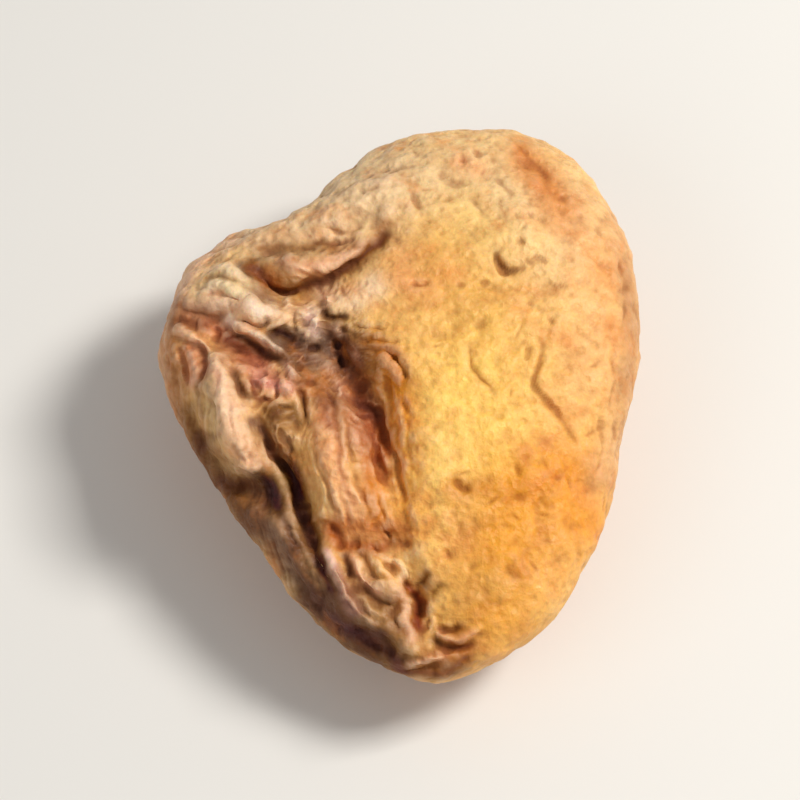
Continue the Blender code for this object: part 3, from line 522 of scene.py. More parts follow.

# broad patches of painted light and shade: the darker ones are painted shade, the lighter ones painted
# highlight
PAINTED_SHADE_AND_HIGHLIGHT_TINTS = (
    Tint((104, 62, 42), 0.76, 0.90, ((-6.3, 2.6), (-6.0, 1.6), (-5.2, 0.8), (-4.4, 0.0))),
    Tint((120, 72, 48), 0.50, 0.60, ((-7.3, 3.2), (-6.8, 2.9))),
    Tint((150, 88, 56), 0.55, 0.80, ((-4.2, -0.2), (-3.7, -1.6), (-3.3, -2.8))),
    Tint((110, 66, 32), 0.82, 0.60, ((-8.3, -1.0), (-7.1, -0.6), (-6.9, -1.4))),
    Tint((70, 38, 16), 0.90, 0.68, ((-8.9, -5.0), (-8.2, -5.8), (-7.9, -6.9))),
    Tint((126, 70, 42), 0.72, 0.46, ((-15.0, 5.2), (-13.9, 5.1), (-13.0, 5.0))),
    Tint((120, 66, 44), 0.38, 0.60, ((-12.0, 3.2), (-11.0, 3.0), (-10.2, 2.8))),
    Tint((116, 72, 40), 0.34, 1.00, ((-9.2, 6.9), (-8.0, 6.8), (-7.0, 7.0))),
    Tint((110, 66, 36), 0.28, 0.90, ((-9.0, 9.2), (-7.8, 9.3), (-6.6, 9.9))),
    Tint((92, 50, 24), 0.45, 0.70, ((-12.9, -2.6), (-12.2, -3.8), (-11.4, -4.6))),
    Tint((90, 50, 30), 0.60, 0.42, ((-5.3, -9.7), (-4.9, -11.0))),
    Tint((86, 42, 20), 0.72, 0.65, ((-4.3, -12.8), (-3.4, -14.0), (-2.2, -15.0), (-1.2, -15.2))),
    Tint((140, 80, 42), 0.72, 0.50, ((-0.1, -12.7), (0.1, -13.4))),
    Tint((176, 100, 44), 0.60, 0.90, ((1.8, -17.1), (3.3, -16.6), (4.7, -16.0))),
    Tint((176, 122, 80), 0.45, 0.80, ((15.4, 9.0), (15.6, 5.0), (15.1, 0.5))),
    Tint((255, 200, 130), 0.75, 0.48, ((-5.2, -4.9), (-4.9, -6.2), (-4.7, -7.2))),
    Tint((244, 200, 164), 0.82, 0.62, ((-12.4, 6.9), (-11.7, 6.4), (-10.9, 6.1))),
    Tint((236, 168, 130), 0.45, 0.50, ((-13.9, 2.8), (-13.8, 1.4))),
    Tint((204, 114, 54), 0.66, 0.50, ((-1.2, -2.0), (-1.0, -3.4))),
    Tint((236, 164, 92), 0.50, 0.45, ((-1.1, -4.4), (-0.9, -5.4))),
    Tint((255, 198, 110), 0.60, 0.70, ((0.9, -2.2), (1.1, -5.0), (1.3, -9.4))),
    Tint((255, 204, 128), 0.75, 0.60, ((-0.1, -9.9), (1.3, -9.7))),
    Tint((246, 190, 100), 0.60, 0.60, ((2.7, -12.9), (2.6, -14.0))),
    Tint((160, 112, 72), 0.50, 0.42, ((-9.3, -2.2), (-9.0, -3.1), (-8.2, -4.2))),
)

FINGER_TINTS = (
    Tint((168, 118, 76), 0.62, 0.18, ((-11.6, -1.4), (-11.3, -1.8), (-11.6, -2.2))),
    Tint((146, 98, 56), 0.62, 0.22, ((-12.9, -2.2), (-12.2, -2.5), (-11.7, -2.3))),
    Tint((116, 70, 28), 0.70, 0.34, ((-13.4, -2.4), (-13.1, -3.3))),
    Tint((150, 104, 66), 0.60, 0.22, ((-13.1, 1.2), (-13.2, 0.0), (-12.9, -1.0))),
    Tint((160, 118, 78), 0.55, 0.20, ((-12.6, 0.9), (-12.3, 0.1))),
    Tint((196, 140, 104), 0.60, 0.18, ((-10.9, -0.6), (-10.7, -1.6))),
    Tint((180, 134, 94), 0.60, 0.17, ((-11.9, -0.4), (-11.6, -1.0))),
    Tint((194, 136, 98), 0.62, 0.18, ((-9.8, -3.1), (-9.4, -3.6))),
    Tint((186, 130, 90), 0.60, 0.20, ((-10.9, -3.0), (-10.4, -3.6))),
    Tint((182, 124, 86), 0.60, 0.18, ((-9.2, -4.0), (-8.8, -4.3))),
    Tint((192, 136, 96), 0.60, 0.18, ((-11.0, -2.2), (-10.6, -2.6))),
    Tint((150, 98, 56), 0.58, 0.24, ((-12.1, -3.2), (-11.3, -3.9))),
    Tint((206, 140, 112), 0.55, 0.30, ((-12.2, 2.2), (-11.8, 1.2))),
)

MARKS = SHOULDER_MARKS + LOBE_MARKS + SUTURE_MARKS + STEM_MARKS + TIP_MARKS + CHEEK_MARKS
TINTS = (
    CHEEK_TINTS + SUTURE_TINTS + LOBE_TINTS + SHOULDER_TINTS + STEM_TINTS + TIP_TINTS
    + PAINTED_SHADE_AND_HIGHLIGHT_TINTS + FINGER_TINTS
)


def linear(colour: Colour) -> np.ndarray:
    """Turns a display colour, 0 to 255, into linear light, 0 to 1."""
    share = np.asarray(colour, float) / 255
    return np.where(share <= 0.04045, share / 12.92, ((share + 0.055) / 1.055) ** 2.4)


def eased(value: np.ndarray, low: float, high: float) -> np.ndarray:
    """A smooth step from 0 at low to 1 at high."""
    share = np.clip((value - low) / (high - low), 0.0, 1.0)
    return share * share * (3 - 2 * share)


def curve_through(path: tuple[Place, ...], per_span: int = 6) -> np.ndarray:
    """Points on a smooth curve through a path.

    Args:
        path: the places it goes through, on the face plane.
        per_span: how many points to put in each span.

    Returns:
        One row of u and v each, ends included.
    """
    knots = np.asarray(path, float)
    if len(knots) == 1:
        return knots
    padded = np.vstack([2 * knots[0] - knots[1], knots, 2 * knots[-1] - knots[-2]])
    t = np.linspace(0, 1, per_span, endpoint=False)[:, None]
    spans = [
        0.5 * (2 * b + (c - a) * t + (2 * a - 5 * b + 4 * c - d) * t**2 + (3 * b - a - 3 * c + d) * t**3)
        for a, b, c, d in zip(padded, padded[1:], padded[2:], padded[3:])
    ]
    return np.vstack([*spans, knots[-1:]])


def beside(places: np.ndarray, line: np.ndarray) -> tuple[np.ndarray, np.ndarray]:
    """How far places on the face plane lie from a line, and how far along it, 0 to 1.

    Args:
        places: one row of u and v each.
        line: the line's points, or the one point of a spot.

    Returns:
        The distances in millimetres and the shares of the way along.
    """
    if len(line) == 1:
        return np.linalg.norm(places - line[0], axis=1), np.full(len(places), 0.5)
    starts, steps = line[:-1], np.diff(line, axis=0)
    rel = places[:, None, :] - starts[None, :, :]
    t = np.clip((rel * steps).sum(2) / (steps**2).sum(1), 0, 1)
    squares = ((rel - t[..., None] * steps) ** 2).sum(2)
    best = squares.argmin(1)
    rows = np.arange(len(places))
    return np.sqrt(squares[rows, best]), (best + t[rows, best]) / len(steps)


def stroke(
    places: np.ndarray, path: tuple[Place, ...], width: float, taper: float = 0.0
) -> tuple[np.ndarray, np.ndarray]:
    """The places that a soft stroke touches and how strongly.

    Args:
        places: one row of u and v each.
        path: the stroke's path.
        width: how far out it falls to a third.
        taper: how much of each end fades, as a share of the length.

    Returns:
        The indices of the places near enough, and the stroke's strength at each, 0 to 1.
    """
    line = curve_through(path)
    reach = STROKE_REACH * width
    low, high = line.min(0) - reach, line.max(0) + reach
    near = np.flatnonzero(((places > low) & (places < high)).all(1))
    distance, along = beside(places[near], line)
    strength = np.exp(-((distance / width) ** 2))
    if len(line) > 1 and taper > 0:
        strength *= eased(np.minimum(along, 1 - along), -STROKE_HEAD_START * taper, taper)
    return near, strength


def noise_at(points: np.ndarray, shift: float) -> np.ndarray:
    """Smooth noise, about -0.6 to 0.6, at each point; shift picks the pattern."""
    step = Vector([part * shift for part in SHIFT_WAY])
    return np.array([noise.noise(Vector(p) + step) for p in points])


@dataclass(frozen=True)
class Wave:
    """A smooth noise over the skin: its span in millimetres, and the shift that picks its pattern."""

    span: float
    shift: float

    def at(self, points: np.ndarray) -> np.ndarray:
        """Reads the noise at each point, about -0.6 to 0.6."""
        return noise_at(points / self.span, self.shift)


@dataclass(frozen=True)
class Relief:
    """One kind of small relief all over the skin.

    Height and span are in millimetres. Calm is the share of the height that is left where the skin is
    smooth, and shift picks the pattern.
    """

    feel: Feel
    height: float
    span: float
    calm: float
    shift: float


@dataclass(frozen=True)
class PitSizes:
    """How many pits are scattered, and the spans in millimetres that their sizes are drawn from."""

    count: int = 150
    long: Span = (0.18, 0.65)
    wide: Span = (0.12, 0.20)
    deep: Span = (0.05, 0.15)
    thick: float = 0.8
    reach: float = 1.6


@dataclass
class SkinMesh:
    """The fine mesh of the skin, as arrays of its points and edges in millimetres."""

    mesh: bpy.types.Mesh
    points: np.ndarray = field(init=False)
    edges: np.ndarray = field(init=False)

    def __post_init__(self) -> None:
        """Reads the mesh into arrays."""
        flat = np.empty(len(self.mesh.vertices) * 3)
        self.mesh.vertices.foreach_get("co", flat)
        self.points = flat.reshape(-1, 3) / MM
        ends = np.empty(len(self.mesh.edges) * 2, np.int32)
        self.mesh.edges.foreach_get("vertices", ends)
        self.edges = ends.reshape(-1, 2)

    def write(self) -> None:
        """Puts the points back into the mesh."""
        self.mesh.vertices.foreach_set("co", (self.points * MM).ravel())
        self.mesh.update()

    def normals(self) -> np.ndarray:
        """Finds the outward normals at the points.

        Returns:
            One unit row for each point.
        """
        self.write()
        flat = np.empty(len(self.mesh.vertices) * 3)
        self.mesh.vertex_normals.foreach_get("vector", flat)
        return flat.reshape(-1, 3)

    def eased_over(self, values: np.ndarray, rounds: int) -> np.ndarray:
        """Averages values with their neighbours' over the mesh.

        Args:
            values: a number or a row of numbers for each point.
            rounds: how many times.

        Returns:
            The eased values.
        """
        a, b = self.edges.T
        count = np.bincount(np.concatenate([a, b]), minlength=len(values)).astype(float)
        rows = values.reshape(len(values), -1).copy()
        for _ in range(rounds):
            for column in rows.T:
                near = np.bincount(a, column[b], len(column)) + np.bincount(b, column[a], len(column))
                column[:] = 0.5 * column + 0.5 * near / count
        return rows.reshape(values.shape)

    def hollowness(self, rounds: int) -> np.ndarray:
        """How far each point lies under the skin around it, in millimetres, or, below nought, above."""
        return ((self.eased_over(self.points, rounds) - self.points) * self.normals()).sum(1)

    def keep_colour(self, name: str, colour: np.ndarray) -> None:
        """Keeps a linear colour for each point as an attribute.

        Args:
            name: the attribute's name.
            colour: one row of red, green and blue each.
        """
        rows = np.concatenate([colour, np.ones((len(colour), 1))], axis=1)
        kept = self.mesh.color_attributes.new(name, "FLOAT_COLOR", "POINT")
        kept.data.foreach_set("color", rows.ravel())

    def keep_number(self, name: str, values: np.ndarray) -> None:
        """Keeps a number for each point as an attribute."""
        self.mesh.attributes.new(name, "FLOAT", "POINT").data.foreach_set("value", values)


@dataclass(frozen=True)
class Carry:
    """A smooth step that carries one span of a value to another."""

    from_low: float
    from_high: float
    to_low: float
    to_high: float


@dataclass(frozen=True)
class Grain:
    """A fractal noise: how many features fit in a metre, and how many finer layers it has."""

    scale: float
    detail: float


@dataclass(frozen=True)
class NodeMaker:
    """Adds nodes to one material and joins them up."""

    tree: bpy.types.NodeTree

    def attribute(self, name: str, output: str) -> Socket:
        """Reads one of the piece's own attributes.

        Args:
            name: the attribute's name.
            output: which of the node's outputs to take.

        Returns:
            The attribute.
        """
        node = self.tree.nodes.new("ShaderNodeAttribute")
        node.attribute_name = name
        return node.outputs[output]

    def noise(self, places: Socket, grain: Grain, roughness: float) -> Socket:
        """Makes fractal noise over the skin.

        Args:
            places: where to read it.
            grain: its scale and detail.
            roughness: how strong its finer layers are.

        Returns:
            The noise, 0 to 1.
        """
        node = self.tree.nodes.new("ShaderNodeTexNoise")
        node.inputs["Scale"].default_value = grain.scale
        node.inputs["Detail"].default_value = grain.detail
        node.inputs["Roughness"].default_value = roughness
        self.tree.links.new(places, node.inputs["Vector"])
        return node.outputs["Fac"]

    def pores(self, places: Socket, scale: float) -> Socket:
        """Makes small round cells over the skin.

        Args:
            places: where to read them.
            scale: how many fit in a metre.

        Returns:
            How far each place is from its cell's middle.
        """
        node = self.tree.nodes.new("ShaderNodeTexVoronoi")
        node.inputs["Scale"].default_value = scale
        self.tree.links.new(places, node.inputs["Vector"])
        return node.outputs["Distance"]

    def spanned(self, value: Socket, carry: Carry) -> Socket:
        """Carries one span of a value to another.

        Args:
            value: the value to carry over.
            carry: from where to where.

        Returns:
            The new value.
        """
        node = self.tree.nodes.new("ShaderNodeMapRange")
        node.interpolation_type = "SMOOTHSTEP"
        limits = (carry.from_low, carry.from_high, carry.to_low, carry.to_high)
        for name, number in zip(("From Min", "From Max", "To Min", "To Max"), limits):
            node.inputs[name].default_value = number
        self.tree.links.new(value, node.inputs["Value"])
        return node.outputs["Result"]

    def laid(self, how: Layer, share: Socket, under: Socket, over: Colour) -> Socket:
        """Lays a plain colour over another by a share.

        Args:
            how: whether it covers or stains.
            share: how much of it shows, 0 to 1.
            under: the colour below.
            over: the colour laid on it.

        Returns:
            The new colour.
        """
        node = self.tree.nodes.new("ShaderNodeMix")
        node.data_type = "RGBA"
        node.blend_type = how.value
        factor, first, second = (node.inputs[number] for number in COLOUR_MIX_INPUTS)
        self.tree.links.new(share, factor)
        self.tree.links.new(under, first)
        second.default_value = (*linear(over), 1.0)
        return node.outputs[COLOUR_MIX_OUTPUT]

    def scaled(self, colour: Socket, share: Socket) -> Socket:
        """Makes a colour lighter or darker by a value that changes over the skin.

        Args:
            colour: the colour to scale.
            share: what to scale it by.

        Returns:
            The scaled colour.
        """
        node = self.tree.nodes.new("ShaderNodeVectorMath")
        node.operation = "SCALE"
        self.tree.links.new(colour, node.inputs["Vector"])
        self.tree.links.new(share, node.inputs["Scale"])
        return node.outputs["Vector"]

    def total(self, first: Socket, second: Socket) -> Socket:
        """Adds two values that change over the skin.

        Args:
            first: the one.
            second: the other.

        Returns:
            Their sum.
        """
        node = self.tree.nodes.new("ShaderNodeMath")
        node.operation = "ADD"
        self.tree.links.new(first, node.inputs[0])
        self.tree.links.new(second, node.inputs[1])
        return node.outputs["Value"]


@dataclass(frozen=True)
class SkinFinish:
    """The waxy, leathery finish of a dried apricot's skin."""

    slot: str = "dried_skin"
    specular: float = 0.34
    subsurface: float = 0.22
    scatter_radius: Triple = (1.0, 0.42, 0.14)
    scatter_scale: float = 0.0011
    bump: float = 0.60
    bump_depth: float = 0.00016
    noise_roughness: float = 0.62
    blotches: Grain = Grain(260.0, 5.0)
    mottles: Grain = Grain(520.0, 4.0)
    flecks: Grain = Grain(950.0, 6.0)
    dust: Grain = Grain(3200.0, 3.0)
    pore_scale: float = 1500.0
    amber: Colour = (236, 150, 70)
    mottle: Colour = (236, 196, 150)
    speck: Colour = (206, 146, 88)
    # the painted shade laid into the grooves and the painted highlight laid on the crests
    groove_shade_colour: Colour = (150, 84, 44)
    crest_highlight_colour: Colour = (255, 218, 182)
    amber_share: Carry = Carry(0.50, 0.70, 0.0, 0.40)
    mottle_light: Carry = Carry(0.30, 0.70, 1.09, 0.99)
    mottle_share: Carry = Carry(0.42, 0.76, 0.0, 0.40)
    fleck_light: Carry = Carry(0.28, 0.56, 1.10, 0.99)
    speck_share: Carry = Carry(0.52, 0.78, 0.0, 0.34)
    dust_light: Carry = Carry(0.25, 0.75, 0.94, 1.05)
    dullness: Carry = Carry(0.3, 0.7, 0.40, 0.60)
    groove_dullness: Carry = Carry(0.0, 0.6, 0.0, 0.30)
    pore_depth: Carry = Carry(0.0, 0.6, 0.0, 1.0)

    def material(self) -> bpy.types.Material:
        """Builds the material: the painted tints, mottled, with painted shade darkening the grooves and
        painted highlights paling the crests.

        Returns:
            The finished material.
        """
        made = bpy.data.materials.new("apricot_skin")
        made.use_nodes = True
        shader = made.node_tree.nodes["Principled BSDF"]
        maker = NodeMaker(made.node_tree)
        places = made.node_tree.nodes.new("ShaderNodeTexCoord").outputs["Object"]
        blotches, mottles, flecks, dust = (
            maker.noise(places, grain, self.noise_roughness)
            for grain in (self.blotches, self.mottles, self.flecks, self.dust)
        )
        groove = maker.attribute("groove", "Fac")

        colour = maker.attribute("tint", "Color")
        colour = maker.laid(Layer.COVER, maker.spanned(blotches, self.amber_share), colour, self.amber)
        colour = maker.scaled(colour, maker.spanned(mottles, self.mottle_light))
        colour = maker.laid(Layer.STAIN, maker.spanned(mottles, self.mottle_share), colour, self.mottle)
        colour = maker.scaled(colour, maker.spanned(flecks, self.fleck_light))
        colour = maker.laid(Layer.STAIN, maker.spanned(flecks, self.speck_share), colour, self.speck)
        # the grooves are darkened as painted shade and the crests paled as painted highlight
        colour = maker.laid(Layer.STAIN, groove, colour, self.groove_shade_colour)
        colour = maker.laid(Layer.COVER, maker.attribute("crest", "Fac"), colour, self.crest_highlight_colour)
        colour = maker.scaled(colour, maker.spanned(dust, self.dust_light))
        dull = maker.total(
            maker.spanned(flecks, self.dullness), maker.spanned(groove, self.groove_dullness)
        )
        pores = maker.spanned(maker.pores(places, self.pore_scale), self.pore_depth)
        height = maker.total(maker.total(flecks, dust), pores)

        made.node_tree.links.new(colour, shader.inputs["Base Color"])
        made.node_tree.links.new(dull, shader.inputs["Roughness"])
        made.node_tree.links.new(self._bumped(made.node_tree, height), shader.inputs["Normal"])
        shader.inputs["Metallic"].default_value = 0.0
        shader.inputs["Specular IOR Level"].default_value = self.specular
        shader.inputs["Subsurface Weight"].default_value = self.subsurface
        shader.inputs["Subsurface Radius"].default_value = self.scatter_radius
        shader.inputs["Subsurface Scale"].default_value = self.scatter_scale
        return made

    def _bumped(self, tree: bpy.types.NodeTree, height: Socket) -> Socket:
        """Turns the finest relief, of pores, flecks and dust, into a bumped normal.

        Args:
            tree: the material's nodes.
            height: the relief's height.

        Returns:
            The bumped normal.
        """
        node = tree.nodes.new("ShaderNodeBump")
        node.inputs["Strength"].default_value = self.bump
        node.inputs["Distance"].default_value = self.bump_depth
        tree.links.new(height, node.inputs["Height"])
        return node.outputs["Normal"]


@dataclass
class Apricot:
    """The whole fruit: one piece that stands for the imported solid. Sizes are in millimetres.

    Where a name ends in edge, it is the span of a value over which one treatment gives way to another.
    The first four are spans of how squarely the skin faces the viewer, from -1 behind to 1.
    """

    name: str = "apricot_skin"
    node: str = "apricot"
    body: str = "root"
    seed: int = 11
    divisions: int = 2
    weld: float = TINY
    flat_enough: float = math.radians(60)
    face: FacePlane = FacePlane()
    finish: SkinFinish = SkinFinish()
    pits: PitSizes = PitSizes()

    face_edge: Span = (-0.05, 0.30)
    frontal_edge: Span = (0.25, 0.75)
    behind_edge: Span = (-0.60, 0.05)
    shown_edge: Span = (-0.45, 0.15)
    shown_wander: float = 0.35

    taper: float = 0.25
    lean: float = 0.8
    lip: float = 0.35
    lip_reach: float = 2.0
    unevenness: float = 0.6
    uneven: Wave = Wave(0.9, 119.0)
    wander: float = 0.30
    short_wander: float = 0.25
    long_waves: tuple[Wave, Wave] = (Wave(1.5, 91.0), Wave(1.5, 97.0))
    short_waves: tuple[Wave, Wave] = (Wave(0.6, 101.0), Wave(0.6, 107.0))

    half_extent: Triple = (16.4, 18.2, 8.4)
    heart: Triple = (0.9, 1.5, 7.1)
    face_middle: Place = (1.0, 1.0)
    stem_end: Place = (-5.4, 4.4)
    blossom_end: Place = (1.6, -14.6)
    end_fade: float = 3.4
    end_sharpness: int = 6
    fold_border: tuple[Place, ...] = (
        (4.0, -18.0), (3.0, -15.0), (1.4, -11.0), (1.6, -3.0), (0.6, 2.0), (-1.6, 5.5), (-3.6, 8.0),
        (1.5, 12.0),
    )
    fold_softness: float = 1.2
    under_restless: float = 0.75
    tongue: tuple[Place, ...] = ((-5.0, -0.6), (-4.4, -3.4), (-3.4, -7.2))
    tongue_width: float = 1.6
    tongue_calm: float = 0.65
    rings: float = 13.0
    ridge_floor: float = 0.45
    fold_warp: float = 0.7
    crumple_warp: float = 0.9
    plain_warp: float = 0.2
    warps: tuple[Wave, Wave, Wave] = (Wave(2.6, 31.0), Wave(2.6, 47.0), Wave(2.6, 63.0))
    side_pleats: float = 0.1
    lumps_lost_behind: float = 0.35
    reliefs: tuple[Relief, ...] = (
        Relief(Feel.LUMPS, 0.32, 3.4, 0.80, 3.1),
        Relief(Feel.LUMPS, 0.18, 1.5, 0.80, 17.3),
        Relief(Feel.LUMPS, 0.08, 0.8, 0.90, 29.7),
        Relief(Feel.FURROWS, 0.50, 4.4, 0.50, 41.0),
        Relief(Feel.FURROWS, 0.24, 2.2, 0.50, 53.0),
        Relief(Feel.CRUMPLE, 0.10, 2.4, 0.40, 9.4),
        Relief(Feel.PLEATS, 0.06, 1.25, 0.12, 5.7),
        Relief(Feel.PLEATS, 0.035, 0.62, 0.12, 14.2),
        Relief(Feel.CRUMPLE, 0.035, 1.0, 0.60, 21.5),
        Relief(Feel.GRAIN, 0.030, 0.42, 0.80, 2.6),
    )

    sheen: float = 0.023
    darkest: float = 0.006
    face_base: Colour = (242, 188, 112)
    under_tints: tuple[Colour, Colour, Colour] = ((232, 176, 112), (222, 150, 84), (186, 118, 74))
    broad: Wave = Wave(5.5, 71.0)
    middling: Wave = Wave(2.1, 83.0)
    warm_mix: float = 0.5
    warm_edge: Span = (-0.15, 0.35)
    dark_mix: float = 0.6
    dark_edge: Span = (0.05, 0.45)
    dark_most: float = 0.5
    blur_rounds: int = 60
    fine_rounds: int = 12
    wide_rounds: int = 90
    # how deep hollows take the painted shade of the grooves, and how high ridges take the painted highlight
    # of the crests
    groove_depths: Span = (0.055, 0.45)
    groove_shares: Span = (0.55, 0.45)
    groove_most: float = 0.68
    crest_height: float = 0.06
    crest_power: float = 1.3
    crest_light_edge: Span = (0.06, 0.34)
    crest_share: float = 0.10
    crest_on_folds: float = 0.22

    def build(self) -> bpy.types.Object:
        """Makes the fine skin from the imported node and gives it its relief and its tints.

        Returns:
            The skin's object.
        """
        skin = bpy.data.objects.new(self.name, self._fine_mesh())
        bpy.context.scene.collection.objects.link(skin)
        shape = SkinMesh(skin.data)
        self._emboss(shape)
        self._roughen(shape)
        self._prick(shape)
        shape.points[:, 2] = np.maximum(shape.points[:, 2], 0.0)
        shape.write()
        self._paint(shape)
        skin.data.shade_smooth()
        return skin

    def dress(self, skin: bpy.types.Object) -> None:
        """Gives the skin its material and says what it stands for.

        Args:
            skin: the skin's object.
        """
        skin.data.materials.clear()
        skin.data.materials.append(self.finish.material())
        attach(skin, self.body)
        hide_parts(self.node)

    def _fine_mesh(self) -> bpy.types.Mesh:
        """Makes a smooth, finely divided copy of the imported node's mesh.

        Returns:
            The copy.
        """
        coarse = bmesh.new()
        coarse.from_mesh(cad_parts[self.node].data)
        bmesh.ops.remove_doubles(coarse, verts=coarse.verts, dist=self.weld)
        flat = self.flat_enough
        bmesh.ops.join_triangles(
            coarse, faces=coarse.faces, angle_face_threshold=flat, angle_shape_threshold=flat
        )
        bmesh.ops.recalc_face_normals(coarse, faces=coarse.faces)
        mesh = bpy.data.meshes.new("coarse_skin")
        coarse.to_mesh(mesh)
        coarse.free()
        helper = bpy.data.objects.new("coarse_skin", mesh)
        bpy.context.scene.collection.objects.link(helper)
        finer = helper.modifiers.new("finer", "SUBSURF")
        finer.levels = finer.render_levels = self.divisions
        fine = bpy.data.meshes.new_from_object(helper.evaluated_get(bpy.context.evaluated_depsgraph_get()))
        bpy.data.objects.remove(helper)
        bpy.data.meshes.remove(mesh)
        fine.name = self.name
        return fine

    def _facing(self, normals: np.ndarray) -> np.ndarray:
        """How much each point belongs to the face: 0 on the underside, 1 where it is well seen."""
        return eased(normals @ self.face.outward(), *self.face_edge)

    def _emboss(self, shape: SkinMesh) -> None:
        """Raises and sinks the placed marks, each with a lip beside it.

        Args:
            shape: the skin.
        """
        normals = shape.normals()
        ways = normals + self.lean * self.face.outward()
        ways /= np.linalg.norm(ways, axis=1, keepdims=True)
        places = self.face.places(shape.points) + self._ragged(shape)
        uneven = 1 + self.unevenness * self.uneven.at(shape.points)
        lift = np.zeros(len(places))
        for mark in MARKS:
            near, strength = stroke(places, mark.path, mark.width, self.taper)
            lift[near] += mark.height * (1 + self.lip) * strength
            near, strength = stroke(places, mark.path, self.lip_reach * mark.width, self.taper)
            lift[near] -= mark.height * self.lip * strength
        lift *= uneven
        shape.points += ways * (lift * self._facing(normals))[:, None]

    def _ragged(self, shape: SkinMesh) -> np.ndarray:
        """Finds the small wanderings that keep placed strokes from looking drawn.

        Args:
            shape: the skin.

        Returns:
            One row of u and v, in millimetres, for each point.
        """
        long, short = (
            np.stack([wave.at(shape.points) for wave in waves], axis=1)
            for waves in (self.long_waves, self.short_waves)
        )
        return self.wander * (long + self.short_wander * short)

    def _restless(self, places: np.ndarray, facing: np.ndarray) -> np.ndarray:
        """How wrinkled the skin is: 1 on the folds, less on the underside, 0 on the smooth cheek.

        Args:
            places: where the points show on the face plane.
            facing: how much each belongs to the face.

        Returns:
            A share for each point.
        """
        across, up = np.transpose(self.fold_border)
        edge = np.interp(places[:, 1], up, across)
        folds = eased(edge - places[:, 0], -self.fold_softness, self.fold_softness)
        return np.maximum(folds, self.under_restless * (1 - facing))

    def _meridians(self, shape: SkinMesh) -> tuple[np.ndarray, np.ndarray]:
        """The way round the fruit and the way along it, from the blossom end to the stem end.

        Args:
            shape: the skin.

        Returns:
            The angle round and the logarithmic way along, for each point.
        """
        ends = [
            np.append((np.array(place) - self.face_middle) / self.half_extent[:2], 0.0)
            for place in (self.stem_end, self.blossom_end)
        ]
        for end in ends:
            end[2] = math.sqrt(1 - end[0] ** 2 - end[1] ** 2)
        unit = (shape.points - self.heart) @ self.face.axes().T / self.half_extent
        unit /= np.linalg.norm(unit, axis=1, keepdims=True)
        flat = [(p[..., 0] + 1j * p[..., 1]) / (1 + p[..., 2] + TINY) for p in (unit, *ends)]
        ratio = (flat[0] - flat[2]) / (flat[0] - flat[1] + TINIEST)
        return np.angle(ratio), np.log(np.abs(ratio) + TINY)

    def _pattern(
        self, relief: Relief, points: np.ndarray, warp: np.ndarray, meridians: tuple[np.ndarray, np.ndarray]
    ) -> np.ndarray:
        """Works out one relief's bare pattern.

        Args:
            relief: the kind of relief.
            points: the skin's points.
            warp: what bends the pattern at each point.
            meridians: the way round and the way along at each point.

        Returns:
            Its height at each point, about -0.6 to 0.8.
        """
        if relief.feel in FOLD_RUNS:
            around, along = meridians
            rings = self.rings / relief.span
            run = FOLD_RUNS[relief.feel] / relief.span**0.5
            spots = np.stack([rings * np.cos(around), rings * np.sin(around), run * along], axis=1)
            spots += self.fold_warp * warp
        else:
            bend = self.crumple_warp if relief.feel is Feel.CRUMPLE else self.plain_warp
            spots = (points + bend * warp) / relief.span
        bumps = noise_at(spots, relief.shift)
        return bumps if relief.feel in (Feel.LUMPS, Feel.GRAIN) else 2 * np.abs(bumps) - self.ridge_floor

    def _roughen(self, shape: SkinMesh) -> None:
        """Adds the relief that covers the whole skin, calmer on the cheek and between the folds.

        Args:
            shape: the skin.
        """
        normals = shape.normals()
        places = self.face.places(shape.points)
        squarely = normals @ self.face.outward()
        behind = 1 - eased(squarely, *self.behind_edge)
        around, along = self._meridians(shape)
        ends = np.exp(-((along / self.end_fade) ** self.end_sharpness))
        frontal = eased(squarely, *self.frontal_edge)
        shares = {
            Feel.LUMPS: 1 - self.lumps_lost_behind * behind,
            Feel.FURROWS: behind * ends,
            Feel.PLEATS: (self.side_pleats + (1 - self.side_pleats) * frontal) * ends,
        }
        restless = self._restless(places, self._facing(normals))
        warp = np.stack([wave.at(shape.points) for wave in self.warps], axis=1)
        lift = np.zeros(len(places))
        for relief in self.reliefs:
            height = relief.height * (relief.calm + (1 - relief.calm) * restless)
            pattern = self._pattern(relief, shape.points, warp, (around, along))
            lift += height * pattern * shares.get(relief.feel, 1.0)
        near, strength = stroke(places, self.tongue, self.tongue_width)
        lift[near] *= 1 - self.tongue_calm * strength
        shape.points += normals * lift[:, None]

    def _prick(self, shape: SkinMesh) -> None:
        """Scatters small pits and short scratches over the skin.

        Args:
            shape: the skin.
        """
        normals = shape.normals()
        chance = np.random.default_rng(self.seed)
        spots = chance.choice(len(shape.points), self.pits.count, replace=False)
        lift = np.zeros(len(shape.points))
        for spot in spots:
            middle, normal = shape.points[spot], normals[spot]
            side = np.cross(normal, chance.normal(size=3))
            side /= np.linalg.norm(side)
            other = np.cross(normal, side)
            rel = shape.points - middle
            near = np.flatnonzero((np.abs(rel) < self.pits.reach).all(1))
            sizes = (chance.uniform(*self.pits.long), chance.uniform(*self.pits.wide), self.pits.thick)
            ways = rel[near] @ np.stack([side, other, normal], axis=1) / sizes
            lift[near] -= chance.uniform(*self.pits.deep) * np.exp(-(ways**2).sum(1))
        shape.points += normals * lift[:, None]

